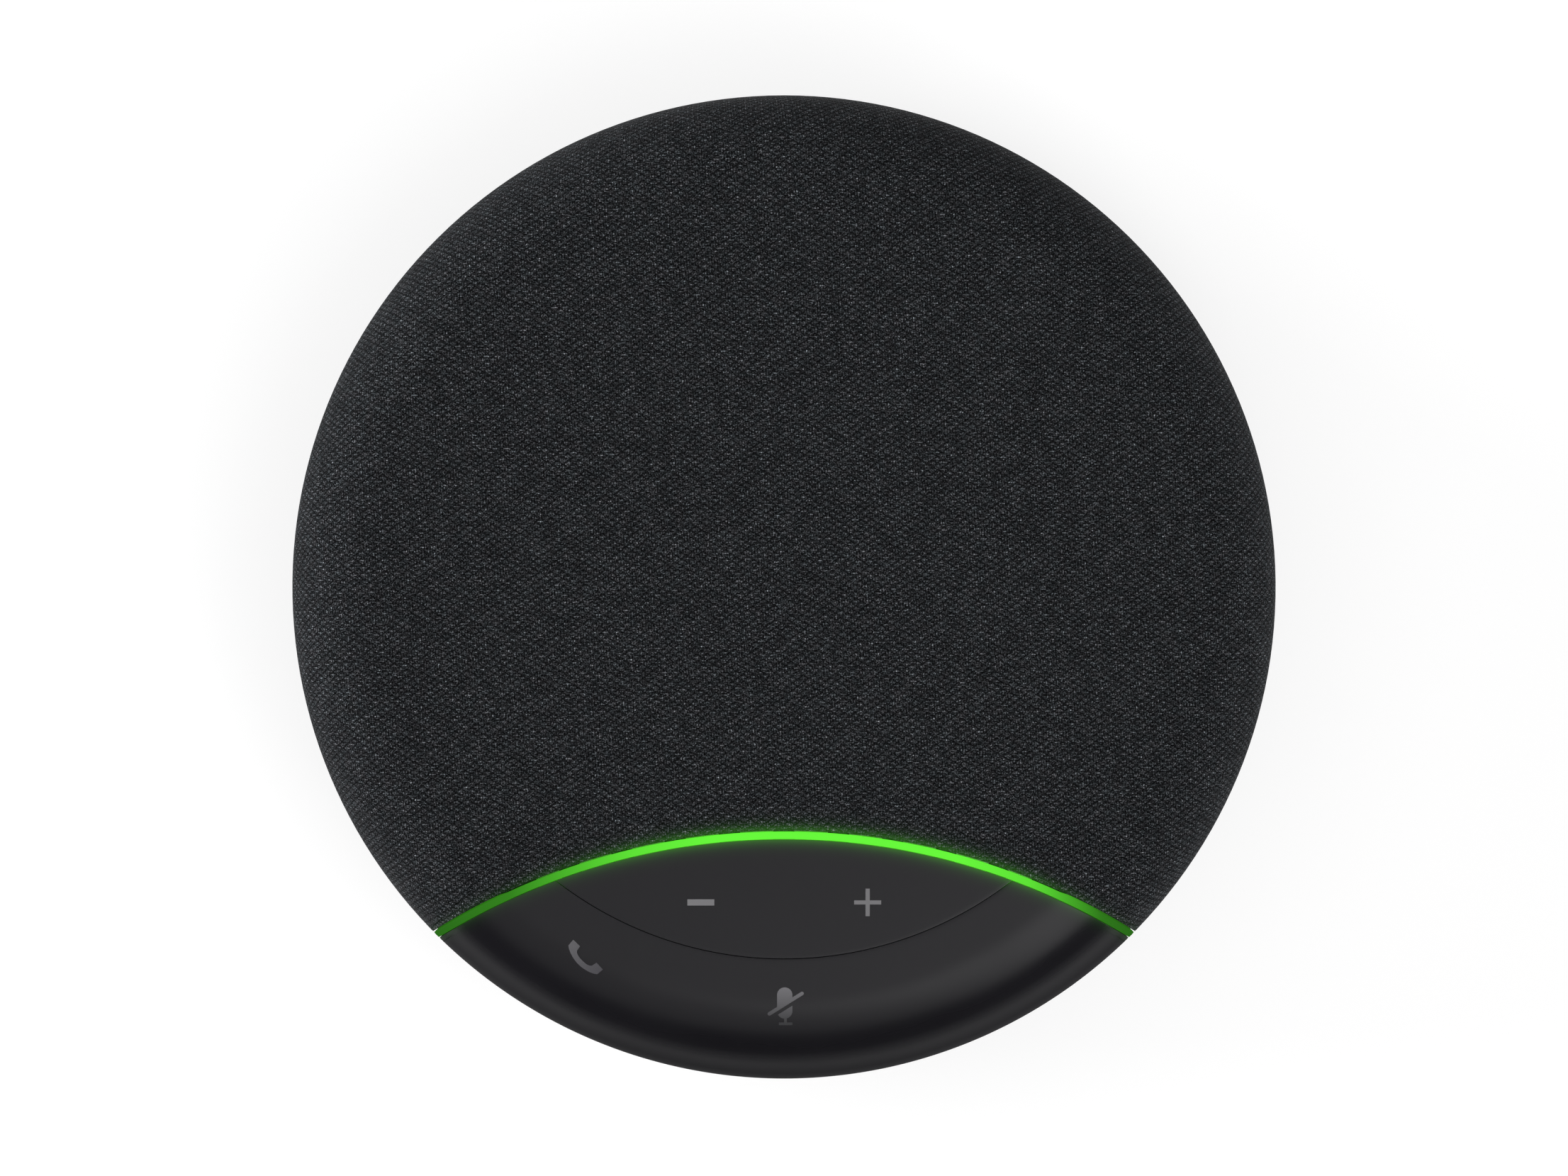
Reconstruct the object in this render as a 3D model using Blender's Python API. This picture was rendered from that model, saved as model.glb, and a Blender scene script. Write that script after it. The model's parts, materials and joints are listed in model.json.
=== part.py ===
"""Round desktop conference speakerphone, modelled as its separate pieces.

The body stands on the table at z = 0 with its vertical axis on the origin and its key panel toward -Y.
Lengths are in metres. The top pieces hang from the crown downward and the bottom pieces stand on the floor
of the case, so one size can change while the pieces around it follow.
"""

import math

import bmesh
import bpy
from mathutils import Matrix, Vector

MM = 0.001

# Overall form
BODY_RADIUS = 60.0 * MM
BODY_HEIGHT = 38.0 * MM
CROWN_RADIUS = 1500.0 * MM
SHOULDER_RADIUS = 10.0 * MM
SPLIT_HEIGHT = 16.0 * MM
SPLIT_GAP = 0.8 * MM
CASE_FLARE = 9.5 * MM
RIM_SETBACK = 0.5 * MM
LIP_HEIGHT = 2.2 * MM
LIP_WALL = 1.4 * MM
LEDGE = 1.8 * MM

# Control panel in plan
LIGHT_ARC_RADIUS = 80.0 * MM
LIGHT_SETBACK = 29.75 * MM
LIGHT_WIDTH = 1.15 * MM
LIGHT_DEPTH = 3.6 * MM
LIGHT_PROUD = 0.1 * MM
FRONT_KEY_DEPTH = 14.6 * MM
SEAM_WIDTH = 0.5 * MM
KEY_LEG_ANGLE = math.radians(28.0)
KEY_GUIDE_ANGLE = math.radians(34.0)
ROCKER_REACH = 14.0 * MM

# Walls and clearances
FIT = 0.3 * MM
KEY_GAP = 0.35 * MM
KEY_TRAVEL = 0.4 * MM
ROCKER_TILT = math.radians(1.0)
FABRIC_THICKNESS = 0.9 * MM
GRILLE_WALL = 1.6 * MM
KEY_WALL = 2.0 * MM
CASE_WALL = 2.0 * MM

# Boards, switches and light channel
KEY_BOARD_THICKNESS = 1.2 * MM
KEY_BOARD_MARGIN = 3.0 * MM
LED_LENGTH = 2.0 * MM
LED_DEPTH = 1.1 * MM
LED_HEIGHT = 0.7 * MM
LED_COUNT = 9
CHANNEL_FLOOR = 0.7 * MM
CHANNEL_WALL = 0.9 * MM
CHANNEL_REACH = 30.0 * MM
SWITCH_SIDE = 4.0 * MM
SWITCH_BODY = 0.9 * MM
SWITCH_HEIGHT = 1.6 * MM
SWITCH_PLUNGER = 2.2 * MM
LEG_RADIUS = 1.4 * MM
LEG_MARGIN = 1.5 * MM
PIN_RADIUS = 0.6 * MM
PIN_PLAY = 0.06 * MM
EAR_WIDTH = 3.6 * MM
EAR_THICKNESS = 1.4 * MM

# Inner frame
FRAME_PLATE = 2.0 * MM
FRAME_SKIRT = 3.4 * MM
FRAME_SKIRT_WALL = 1.6 * MM
FRAME_TAB_WIDTH = 6.0 * MM
FRAME_BOSS_RADIUS = 3.2 * MM

# Microphones
MIC_SETBACK = 14.0 * MM
MIC_BOARD_WIDTH = 7.0 * MM
MIC_BOARD_DEPTH = 5.0 * MM
MIC_BOARD_THICKNESS = 0.8 * MM
MIC_CAN_HEIGHT = 0.9 * MM
MIC_BOOT_RADIUS = 2.4 * MM
MIC_BORE_RADIUS = 0.6 * MM

# Loudspeaker
SPEAKER_OFFSET = 6.0 * MM
SPEAKER_RADIUS = 28.0 * MM
SPEAKER_FLANGE = 1.2 * MM
SPEAKER_GASKET = 0.8 * MM
GASKET_WIDTH = 2.8 * MM
CONE_RADIUS = 16.8 * MM
CONE_THICKNESS = 0.5 * MM
SURROUND_OUTER = 21.4 * MM
SURROUND_LIP = 1.1 * MM
SURROUND_THICKNESS = 0.5 * MM
COIL_RADIUS = 6.5 * MM
COIL_THICKNESS = 0.5 * MM
DUST_CAP_MARGIN = 1.0 * MM
DUST_CAP_RISE = 1.6 * MM
MAGNET_RADIUS = 13.5 * MM
MAGNET_HEIGHT = 3.0 * MM
YOKE_PLATE = 1.5 * MM
TOP_PLATE = 1.5 * MM
AIR_GAP = 0.5 * MM
BASKET_WALL = 1.0 * MM
SPIDER_LIFT = 1.6 * MM
SPIDER_THICKNESS = 0.4 * MM
SPEAKER_CLEARANCE = 0.8 * MM
SPEAKER_SCREW_RADIUS = 0.8 * MM
GRILLE_SLOT = 2.2 * MM
GRILLE_PITCH = 4.4 * MM
GRILLE_BRIDGE = 2.2 * MM
GRILLE_RINGS = ((2, 6), (3, 8), (4, 10))

# Bottom group
FOOT_PROUD = 0.8 * MM
FOOT_GROOVE = 1.0 * MM
FOOT_WIDTH = 8.0 * MM
FOOT_MARGIN = 2.0 * MM
FOOT_CHAMFER = 0.4 * MM
BATTERY_WIDTH = 42.0 * MM
BATTERY_DEPTH = 26.0 * MM
BATTERY_HEIGHT = 6.0 * MM
BATTERY_MARGIN = 2.0 * MM
BOARD_LIFT = 3.2 * MM
BOARD_THICKNESS = 1.6 * MM
BOARD_MARGIN = 1.0 * MM
SHIELD_WIDTH = 24.0 * MM
SHIELD_DEPTH = 18.0 * MM
SHIELD_HEIGHT = 1.8 * MM
SHIELD_MARGIN = 6.0 * MM
BOSS_CLEARANCE = 1.0 * MM
CASE_BOSS_RADIUS = 4.4 * MM
CASE_BOSS_NECK = 3.2 * MM
SCREW_RADIUS = 1.25 * MM
SCREW_HEAD_RADIUS = 2.3 * MM
SCREW_HEAD_HEIGHT = 1.5 * MM
SCREW_GRIP = 7.0 * MM

# Leads inside
LEAD_RADIUS = 0.7 * MM
PLUG_WIDTH = 5.0 * MM
PLUG_DEPTH = 4.0 * MM
PLUG_HEIGHT = 2.3 * MM
RIBBON_WIDTH = 10.0 * MM
RIBBON_THICKNESS = 0.4 * MM
RIBBON_X = -25.0 * MM

# Rear port and side keys
PORT_WIDTH = 13.0 * MM
PORT_HEIGHT = 7.0 * MM
PORT_SINK = 0.5 * MM
PORT_WALL = 2.0 * MM
SOCKET_WIDTH = 8.9 * MM
SOCKET_HEIGHT = 3.2 * MM
SOCKET_DEPTH = 7.3 * MM
SOCKET_SHELL = 0.35 * MM
SIDE_KEY_ANGLE = math.radians(17.0)
SIDE_KEY_WIDTH = 8.0 * MM
SIDE_KEY_HEIGHT = 3.2 * MM
SIDE_KEY_PROUD = 0.4 * MM
SIDE_KEY_COLLAR = 1.0 * MM
SIDE_SWITCH_DEPTH = 3.2 * MM

# Facets
BODY_SEGMENTS = 60
FORM_SEGMENTS = 36
DRIVER_SEGMENTS = 18
BOSS_SEGMENTS = 10
SMALL_SEGMENTS = 8
SHOULDER_STEPS = 5
GRILLE_STEPS = 3
ARC_SEGMENTS = 146
SEAM_SEGMENTS = 86

# Derived levels and places
SHOULDER_AXIS = BODY_RADIUS - SHOULDER_RADIUS
LIGHT_ARC_FRONT = BODY_RADIUS - LIGHT_SETBACK
SEAM_RADIUS = BODY_RADIUS - FRONT_KEY_DEPTH
MIC_CIRCLE = BODY_RADIUS - MIC_SETBACK
CROWN_CENTRE = BODY_HEIGHT - CROWN_RADIUS
SHOULDER_CENTRE = CROWN_CENTRE + math.sqrt((CROWN_RADIUS - SHOULDER_RADIUS) ** 2 - SHOULDER_AXIS ** 2)
CROWN_ANGLE = math.asin(SHOULDER_AXIS / (CROWN_RADIUS - SHOULDER_RADIUS))
ARC_CENTRE = -(LIGHT_ARC_FRONT + LIGHT_ARC_RADIUS)
GRILLE_OUTSET = FABRIC_THICKNESS + FIT
GRILLE_INSET = GRILLE_OUTSET + GRILLE_WALL
GRILLE_FLAT = SPEAKER_OFFSET + GRILLE_RINGS[-1][0] * GRILLE_PITCH + GRILLE_SLOT


def arc_depth(x, offset=0.0):
    """Y of the light arc's mid line, moved outward from its centre by offset, at the given x."""
    return ARC_CENTRE + math.sqrt((LIGHT_ARC_RADIUS + offset) ** 2 - x ** 2)


def skin_height(radius, inset=0.0):
    """Height of the crowned skin, set in by inset, at a radius from the body axis."""
    if radius <= (CROWN_RADIUS - inset) * math.sin(CROWN_ANGLE):
        return CROWN_CENTRE + math.sqrt((CROWN_RADIUS - inset) ** 2 - radius ** 2)
    return SHOULDER_CENTRE + math.sqrt((SHOULDER_RADIUS - inset) ** 2 - (radius - SHOULDER_AXIS) ** 2)


def skin_radius(height, inset=0.0):
    """Radius of the shoulder, set in by inset, at a height above its centre."""
    return SHOULDER_AXIS + math.sqrt((SHOULDER_RADIUS - inset) ** 2 - (height - SHOULDER_CENTRE) ** 2)


RIM_RADIUS = BODY_RADIUS - RIM_SETBACK
BASE_RADIUS = RIM_RADIUS - CASE_FLARE
CASE_RISE = SPLIT_HEIGHT - FOOT_PROUD
FLOOR_TOP = FOOT_PROUD + CASE_WALL


def case_radius(height, inset=0.0):
    """Radius of the case wall, set in by inset, at a height below the split."""
    drop = (SPLIT_HEIGHT - height) / (CASE_RISE - inset)
    return BASE_RADIUS + (CASE_FLARE - inset) * math.sqrt(1.0 - drop ** 2)


CHANNEL_END = math.hypot(CHANNEL_REACH, arc_depth(CHANNEL_REACH))
CHANNEL_BASE = skin_height(CHANNEL_END, LIGHT_DEPTH) - FIT
CHANNEL_BOTTOM = CHANNEL_BASE - CHANNEL_FLOOR
KEY_BOARD_TOP = CHANNEL_BOTTOM - FIT
KEY_BOARD_BOTTOM = KEY_BOARD_TOP - KEY_BOARD_THICKNESS
FRAME_TOP = KEY_BOARD_BOTTOM - FIT
FRAME_BOTTOM = FRAME_TOP - FRAME_PLATE
FRAME_RADIUS = BODY_RADIUS - LIGHT_DEPTH - FIT
FRAME_SHOULDER = skin_radius(FRAME_TOP, LIGHT_DEPTH) - FIT
FRAME_FOOT = SHOULDER_CENTRE - FRAME_SKIRT
KEY_INNER = SEAM_RADIUS + SEAM_WIDTH / 2
ROCKER_OUTER = SEAM_RADIUS - SEAM_WIDTH / 2
PANEL_EDGE = -(LIGHT_WIDTH / 2 + KEY_GAP)
CLOTH_EDGE = LIGHT_WIDTH / 2 + FIT
ROCKER_UNDERSIDE = skin_height(ROCKER_OUTER, KEY_WALL)
TIP_DROP = ROCKER_OUTER * math.sin(ROCKER_TILT)
CHANNEL_TOP = min(skin_height(CHANNEL_END, GRILLE_INSET) - FIT, ROCKER_UNDERSIDE - TIP_DROP - FIT)
SWITCH_TOP = KEY_BOARD_TOP + FIT + SWITCH_HEIGHT
LEG_BOTTOM = SWITCH_TOP + KEY_TRAVEL + 0.1 * MM
LEG_CIRCLE = KEY_INNER + LEG_RADIUS + LEG_MARGIN
ROCKER_BACK = LIGHT_ARC_FRONT - PANEL_EDGE
PIVOT_Y = -(ROCKER_BACK + ROCKER_OUTER) / 2
PIVOT_SPAN = (ROCKER_OUTER - ROCKER_BACK) - 2 * (CHANNEL_WALL + 2 * FIT)
PIVOT_Z = (KEY_BOARD_TOP + FIT + ROCKER_UNDERSIDE) / 2
RIB_LENGTH = PIVOT_SPAN - 2 * (EAR_THICKNESS + FIT)
KEY_BOARD_RADIUS = skin_radius(KEY_BOARD_TOP, LIGHT_DEPTH) - 2 * FIT
SKIRT_BOTTOM = SPLIT_HEIGHT + SPLIT_GAP

FOOT_OUTER = BASE_RADIUS - FOOT_MARGIN
FOOT_INNER = FOOT_OUTER - FOOT_WIDTH
SCREW_CIRCLE = (FOOT_OUTER + FOOT_INNER) / 2
SCREW_X = BATTERY_WIDTH / 2 + BOSS_CLEARANCE + CASE_BOSS_RADIUS
SCREW_Y = math.sqrt(SCREW_CIRCLE ** 2 - SCREW_X ** 2)
SCREW_PLACES = [(sx * SCREW_X, sy * SCREW_Y) for sy in (1, -1) for sx in (1, -1)]
GROOVE_TOP = FOOT_PROUD + FOOT_GROOVE
HEAD_BOTTOM = GROOVE_TOP + FIT
HEAD_TOP = HEAD_BOTTOM + SCREW_HEAD_HEIGHT
BATTERY_BOTTOM = FLOOR_TOP + FIT
BATTERY_TOP = BATTERY_BOTTOM + BATTERY_HEIGHT
BATTERY_FRONT = -math.sqrt(case_radius(BATTERY_BOTTOM, CASE_WALL) ** 2 - (BATTERY_WIDTH / 2) ** 2) + BATTERY_MARGIN
BATTERY_REAR = BATTERY_FRONT + BATTERY_DEPTH
BOARD_BOTTOM = FLOOR_TOP + BOARD_LIFT + FIT
BOARD_TOP = BOARD_BOTTOM + BOARD_THICKNESS
BOARD_FRONT = BATTERY_REAR + BATTERY_MARGIN
PORT_Z = BOARD_TOP + FIT + SOCKET_HEIGHT / 2
PORT_LOW = PORT_Z - PORT_HEIGHT / 2
SIDE_KEY_Z = BOARD_TOP + FIT + SIDE_KEY_COLLAR + SIDE_KEY_HEIGHT / 2
PORT_FACE = math.sqrt(case_radius(PORT_LOW) ** 2 - (PORT_WIDTH / 2) ** 2) - PORT_SINK
BOARD_RADIUS = min(case_radius(BOARD_BOTTOM, CASE_WALL) - BOARD_MARGIN, PORT_FACE - PORT_WALL - FIT)
SHIELD_TOP = BOARD_TOP + FIT + SHIELD_HEIGHT
PLUG_TOP = BOARD_TOP + FIT + PLUG_HEIGHT
PLUG_Z = BOARD_TOP + FIT + PLUG_HEIGHT / 2
PLUG_FRONT = BOARD_FRONT + PLUG_DEPTH
SHIELD_Y = PLUG_FRONT + PLUG_DEPTH + SHIELD_MARGIN + SHIELD_DEPTH / 2
RIBBON_NEAR = -RIBBON_X - RIBBON_WIDTH / 2
RIBBON_START = arc_depth(RIBBON_NEAR, CLOTH_EDGE + KEY_BOARD_MARGIN) + FIT
RIBBON_DROP = (RIBBON_START + SPEAKER_OFFSET - math.sqrt(SPEAKER_RADIUS ** 2 - RIBBON_NEAR ** 2)) / 2

MOTOR_BOTTOM = max(BATTERY_TOP, SHIELD_TOP, PLUG_TOP) + SPEAKER_CLEARANCE
MAGNET_BOTTOM = MOTOR_BOTTOM + YOKE_PLATE + FIT
TOP_PLATE_BOTTOM = MAGNET_BOTTOM + MAGNET_HEIGHT + FIT
BASKET_BOTTOM = TOP_PLATE_BOTTOM + TOP_PLATE + FIT
BASKET_FLOOR = BASKET_BOTTOM + BASKET_WALL
FLANGE_TOP = FRAME_BOTTOM - SPEAKER_GASKET - 2 * FIT
FLANGE_BOTTOM = FLANGE_TOP - SPEAKER_FLANGE
GASKET_INNER = SURROUND_OUTER + FIT
GASKET_OUTER = GASKET_INNER + GASKET_WIDTH
SPEAKER_SCREW_CIRCLE = (GASKET_OUTER + SPEAKER_RADIUS) / 2
SPIDER_TOP = BASKET_FLOOR + FIT + SPIDER_LIFT
CONE_NECK = SPIDER_TOP + FIT


def display(red, green, blue):
    """Linear colour of an 8-bit display value."""
    return tuple((v / 255 / 12.92) if v <= 10 else ((v / 255 + 0.055) / 1.055) ** 2.4
                 for v in (red, green, blue)) + (1.0,)


def finish(name, colour, roughness, metallic=0.0):
    """Principled material of one finish."""
    made = bpy.data.materials.new(name)
    made.use_nodes = True
    made.diffuse_color = colour
    shader = made.node_tree.nodes["Principled BSDF"]
    shader.inputs["Base Color"].default_value = colour
    shader.inputs["Roughness"].default_value = roughness
    shader.inputs["Metallic"].default_value = metallic
    return made


def steps(start, end, count):
    """Evenly spaced values from start to end, both included."""
    return [start + (end - start) * index / count for index in range(count + 1)]


def place(name, bm, material, centre=(0.0, 0.0, 0.0), turn=0.0):
    """Weld a mesh, put it in the scene and mark it as a helper when it has no material."""
    bmesh.ops.remove_doubles(bm, verts=bm.verts, dist=0.000002)
    bmesh.ops.recalc_face_normals(bm, faces=bm.faces)
    mesh = bpy.data.meshes.new(name)
    bm.to_mesh(mesh)
    bm.free()
    mesh.shade_smooth()
    mesh.set_sharp_from_angle(angle=math.radians(32.0))
    made = bpy.data.objects.new(name, mesh)
    made.location = centre
    made.rotation_euler.z = turn
    bpy.context.scene.collection.objects.link(made)
    if material is None:
        made.hide_render = True
        made.display_type = 'WIRE'
    else:
        mesh.materials.append(material)
    return made


def add_turned(bm, profile, segments, centre=(0.0, 0.0)):
    """Spin a half section of (radius, height) points about the vertical through centre."""
    verts = [bm.verts.new((centre[0] + radius, centre[1], height)) for radius, height in profile]
    edges = [bm.edges.new(pair) for pair in zip(verts, verts[1:])]
    if profile[0][0] > 0.0:
        edges.append(bm.edges.new((verts[-1], verts[0])))
    bmesh.ops.spin(bm, geom=verts + edges, axis=(0.0, 0.0, 1.0), cent=(centre[0], centre[1], 0.0),
                   angle=2 * math.pi, steps=segments, use_merge=True)


def turned(name, profile, material, segments, centre=(0.0, 0.0, 0.0)):
    """One solid of revolution."""
    bm = bmesh.new()
    add_turned(bm, profile, segments)
    bmesh.ops.remove_doubles(bm, verts=bm.verts, dist=0.000002)
    bmesh.ops.dissolve_limit(bm, angle_limit=math.radians(0.02), verts=bm.verts, edges=bm.edges)
    return place(name, bm, material, centre)


def add_prism(bm, outline, low, high, axis='Z'):
    """Closed prism of an outline between two levels, along Z, Y or X."""
    if axis == 'Z':
        points = [(u, v, low) for u, v in outline]
        move = Vector((0.0, 0.0, high - low))
    elif axis == 'X':
        points = [(low, u, v) for u, v in outline]
        move = Vector((high - low, 0.0, 0.0))
    else:
        points = [(u, low, v) for u, v in outline]
        move = Vector((0.0, high - low, 0.0))
    face = bm.faces.new([bm.verts.new(point) for point in points])
    grown = bmesh.ops.extrude_face_region(bm, geom=[face])
    lifted = [item for item in grown["geom"] if isinstance(item, bmesh.types.BMVert)]
    bmesh.ops.translate(bm, vec=move, verts=lifted)


def prism(name, outline, low, high, material, axis='Z', centre=(0.0, 0.0, 0.0), turn=0.0):
    """One prism as its own object."""
    bm = bmesh.new()
    add_prism(bm, outline, low, high, axis)
    return place(name, bm, material, centre, turn)


def prisms(name, outlines, low, high, material=None):
    """Several separate upright prisms in one object."""
    bm = bmesh.new()
    for outline in outlines:
        add_prism(bm, outline, low, high)
    return place(name, bm, material)


def circle(radius, segments, centre=(0.0, 0.0)):
    """Plan outline of a circle."""
    return [(centre[0] + radius * math.cos(angle), centre[1] + radius * math.sin(angle))
            for angle in steps(0.0, 2 * math.pi, segments)[:-1]]


def rounded(width, depth, radius, centre=(0.0, 0.0), count=3):
    """Plan outline of a rectangle with rounded corners."""
    points = []
    corners = ((1, 1, 0.0), (-1, 1, 0.5), (-1, -1, 1.0), (1, -1, 1.5))
    for sx, sy, start in corners:
        for angle in steps(start * math.pi, (start + 0.5) * math.pi, count):
            points.append((centre[0] + sx * (width / 2 - radius) + radius * math.cos(angle),
                           centre[1] + sy * (depth / 2 - radius) + radius * math.sin(angle)))
    return points


def box(width, depth, centre=(0.0, 0.0)):
    """Plan outline of a plain rectangle."""
    return [(centre[0] + sx * width / 2, centre[1] + sy * depth / 2)
            for sx, sy in ((1, 1), (-1, 1), (-1, -1), (1, -1))]


def turned_box(width, depth, distance, angle):
    """Plan rectangle at a distance from the body axis, turned to face outward at an angle."""
    out = Vector((math.cos(angle), math.sin(angle)))
    side = Vector((-out.y, out.x))
    return [tuple(out * (distance + su * depth / 2) + side * (sv * width / 2))
            for su, sv in ((1, 1), (-1, 1), (-1, -1), (1, -1))]


def arc_band(outer, inner, reach, count):
    """Plan outline of a strip along the light arc, between two offsets and out to a half width in x."""
    half = math.asin(reach / LIGHT_ARC_RADIUS)
    far = [(r * math.sin(t), ARC_CENTRE + r * math.cos(t))
           for r in (LIGHT_ARC_RADIUS + outer,) for t in steps(half, -half, count)]
    near = [(r * math.sin(t), ARC_CENTRE + r * math.cos(t))
            for r in (LIGHT_ARC_RADIUS + inner,) for t in steps(-half, half, count)]
    return far + near


def ring_slot(radius, width, start, end, count, centre):
    """Plan outline of a curved slot about a centre."""
    far = [(centre[0] + (radius + width / 2) * math.cos(t), centre[1] + (radius + width / 2) * math.sin(t))
           for t in steps(start, end, count)]
    near = [(centre[0] + (radius - width / 2) * math.cos(t), centre[1] + (radius - width / 2) * math.sin(t))
            for t in steps(end, start, count)]
    return far + near


def combine(target, tool, operation):
    """Add, cut or keep the target by another object."""
    step = target.modifiers.new(tool.name, 'BOOLEAN')
    step.operation = operation
    step.object = tool
    step.solver = 'EXACT'


def join(target, tool):
    """Union."""
    combine(target, tool, 'UNION')


def cut(target, tool):
    """Difference."""
    combine(target, tool, 'DIFFERENCE')


def keep(target, tool):
    """Intersection."""
    combine(target, tool, 'INTERSECT')


def set_origin(made, point):
    """Move an object's origin to a point without moving its shape."""
    made.data.transform(Matrix.Translation(-(Vector(point) - made.location)))
    made.location = point


def skin_profile(inset, bottom, count=SHOULDER_STEPS, flat=0.0):
    """Half section of the upper skin from the axis over the crown and the shoulder down to bottom.

    The crown is level inside the radius flat.
    """
    crown = CROWN_RADIUS - inset
    shoulder = SHOULDER_RADIUS - inset
    start = math.asin(flat / crown)
    points = [(crown * math.sin(t), CROWN_CENTRE + crown * math.cos(t)) for t in steps(start, CROWN_ANGLE, 2)]
    if flat > 0.0:
        points.insert(0, (0.0, points[0][1]))
    points += [(SHOULDER_AXIS + shoulder * math.sin(t), SHOULDER_CENTRE + shoulder * math.cos(t))
               for t in steps(CROWN_ANGLE, math.pi / 2, count)[1:]]
    points.append((BODY_RADIUS - inset, bottom))
    return points


def skin_shell(name, outset, inset, bottom, material, segments, count=SHOULDER_STEPS, under=SHOULDER_STEPS, flat=0.0):
    """Closed shell between two offsets of the upper skin, with its shoulder steps outside and under."""
    outer = skin_profile(outset, bottom, count, flat)
    inner = skin_profile(inset, bottom, under, flat)
    return turned(name, outer + inner[::-1], material, segments)


def arc_disc(name, offset, low, high):
    """Helper cylinder whose edge follows the light arc at an offset."""
    return prism(name, circle(LIGHT_ARC_RADIUS + offset, ARC_SEGMENTS, (0.0, ARC_CENTRE)), low, high, None)


def on_ring(radius, angle):
    """Plan point at a radius, by the angle turned from the front of the body toward +X."""
    return (radius * math.sin(angle), -radius * math.cos(angle))


def stepped_block(name, outline, low, high, inset, top, material, centre=(0.0, 0.0, 0.0), turn=0.0):
    """Rectangular block with a smaller block standing on its middle."""
    bm = bmesh.new()
    add_prism(bm, outline, low, high)
    bmesh.ops.recalc_face_normals(bm, faces=bm.faces)
    upper = [face for face in bm.faces if face.normal.z > 0.9]
    bmesh.ops.inset_region(bm, faces=upper, thickness=inset)
    grown = bmesh.ops.extrude_face_region(bm, geom=upper)
    lifted = [item for item in grown["geom"] if isinstance(item, bmesh.types.BMVert)]
    bmesh.ops.translate(bm, vec=(0.0, 0.0, top - high), verts=lifted)
    bmesh.ops.delete(bm, geom=upper, context='FACES')
    return place(name, bm, material, centre, turn)


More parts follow.
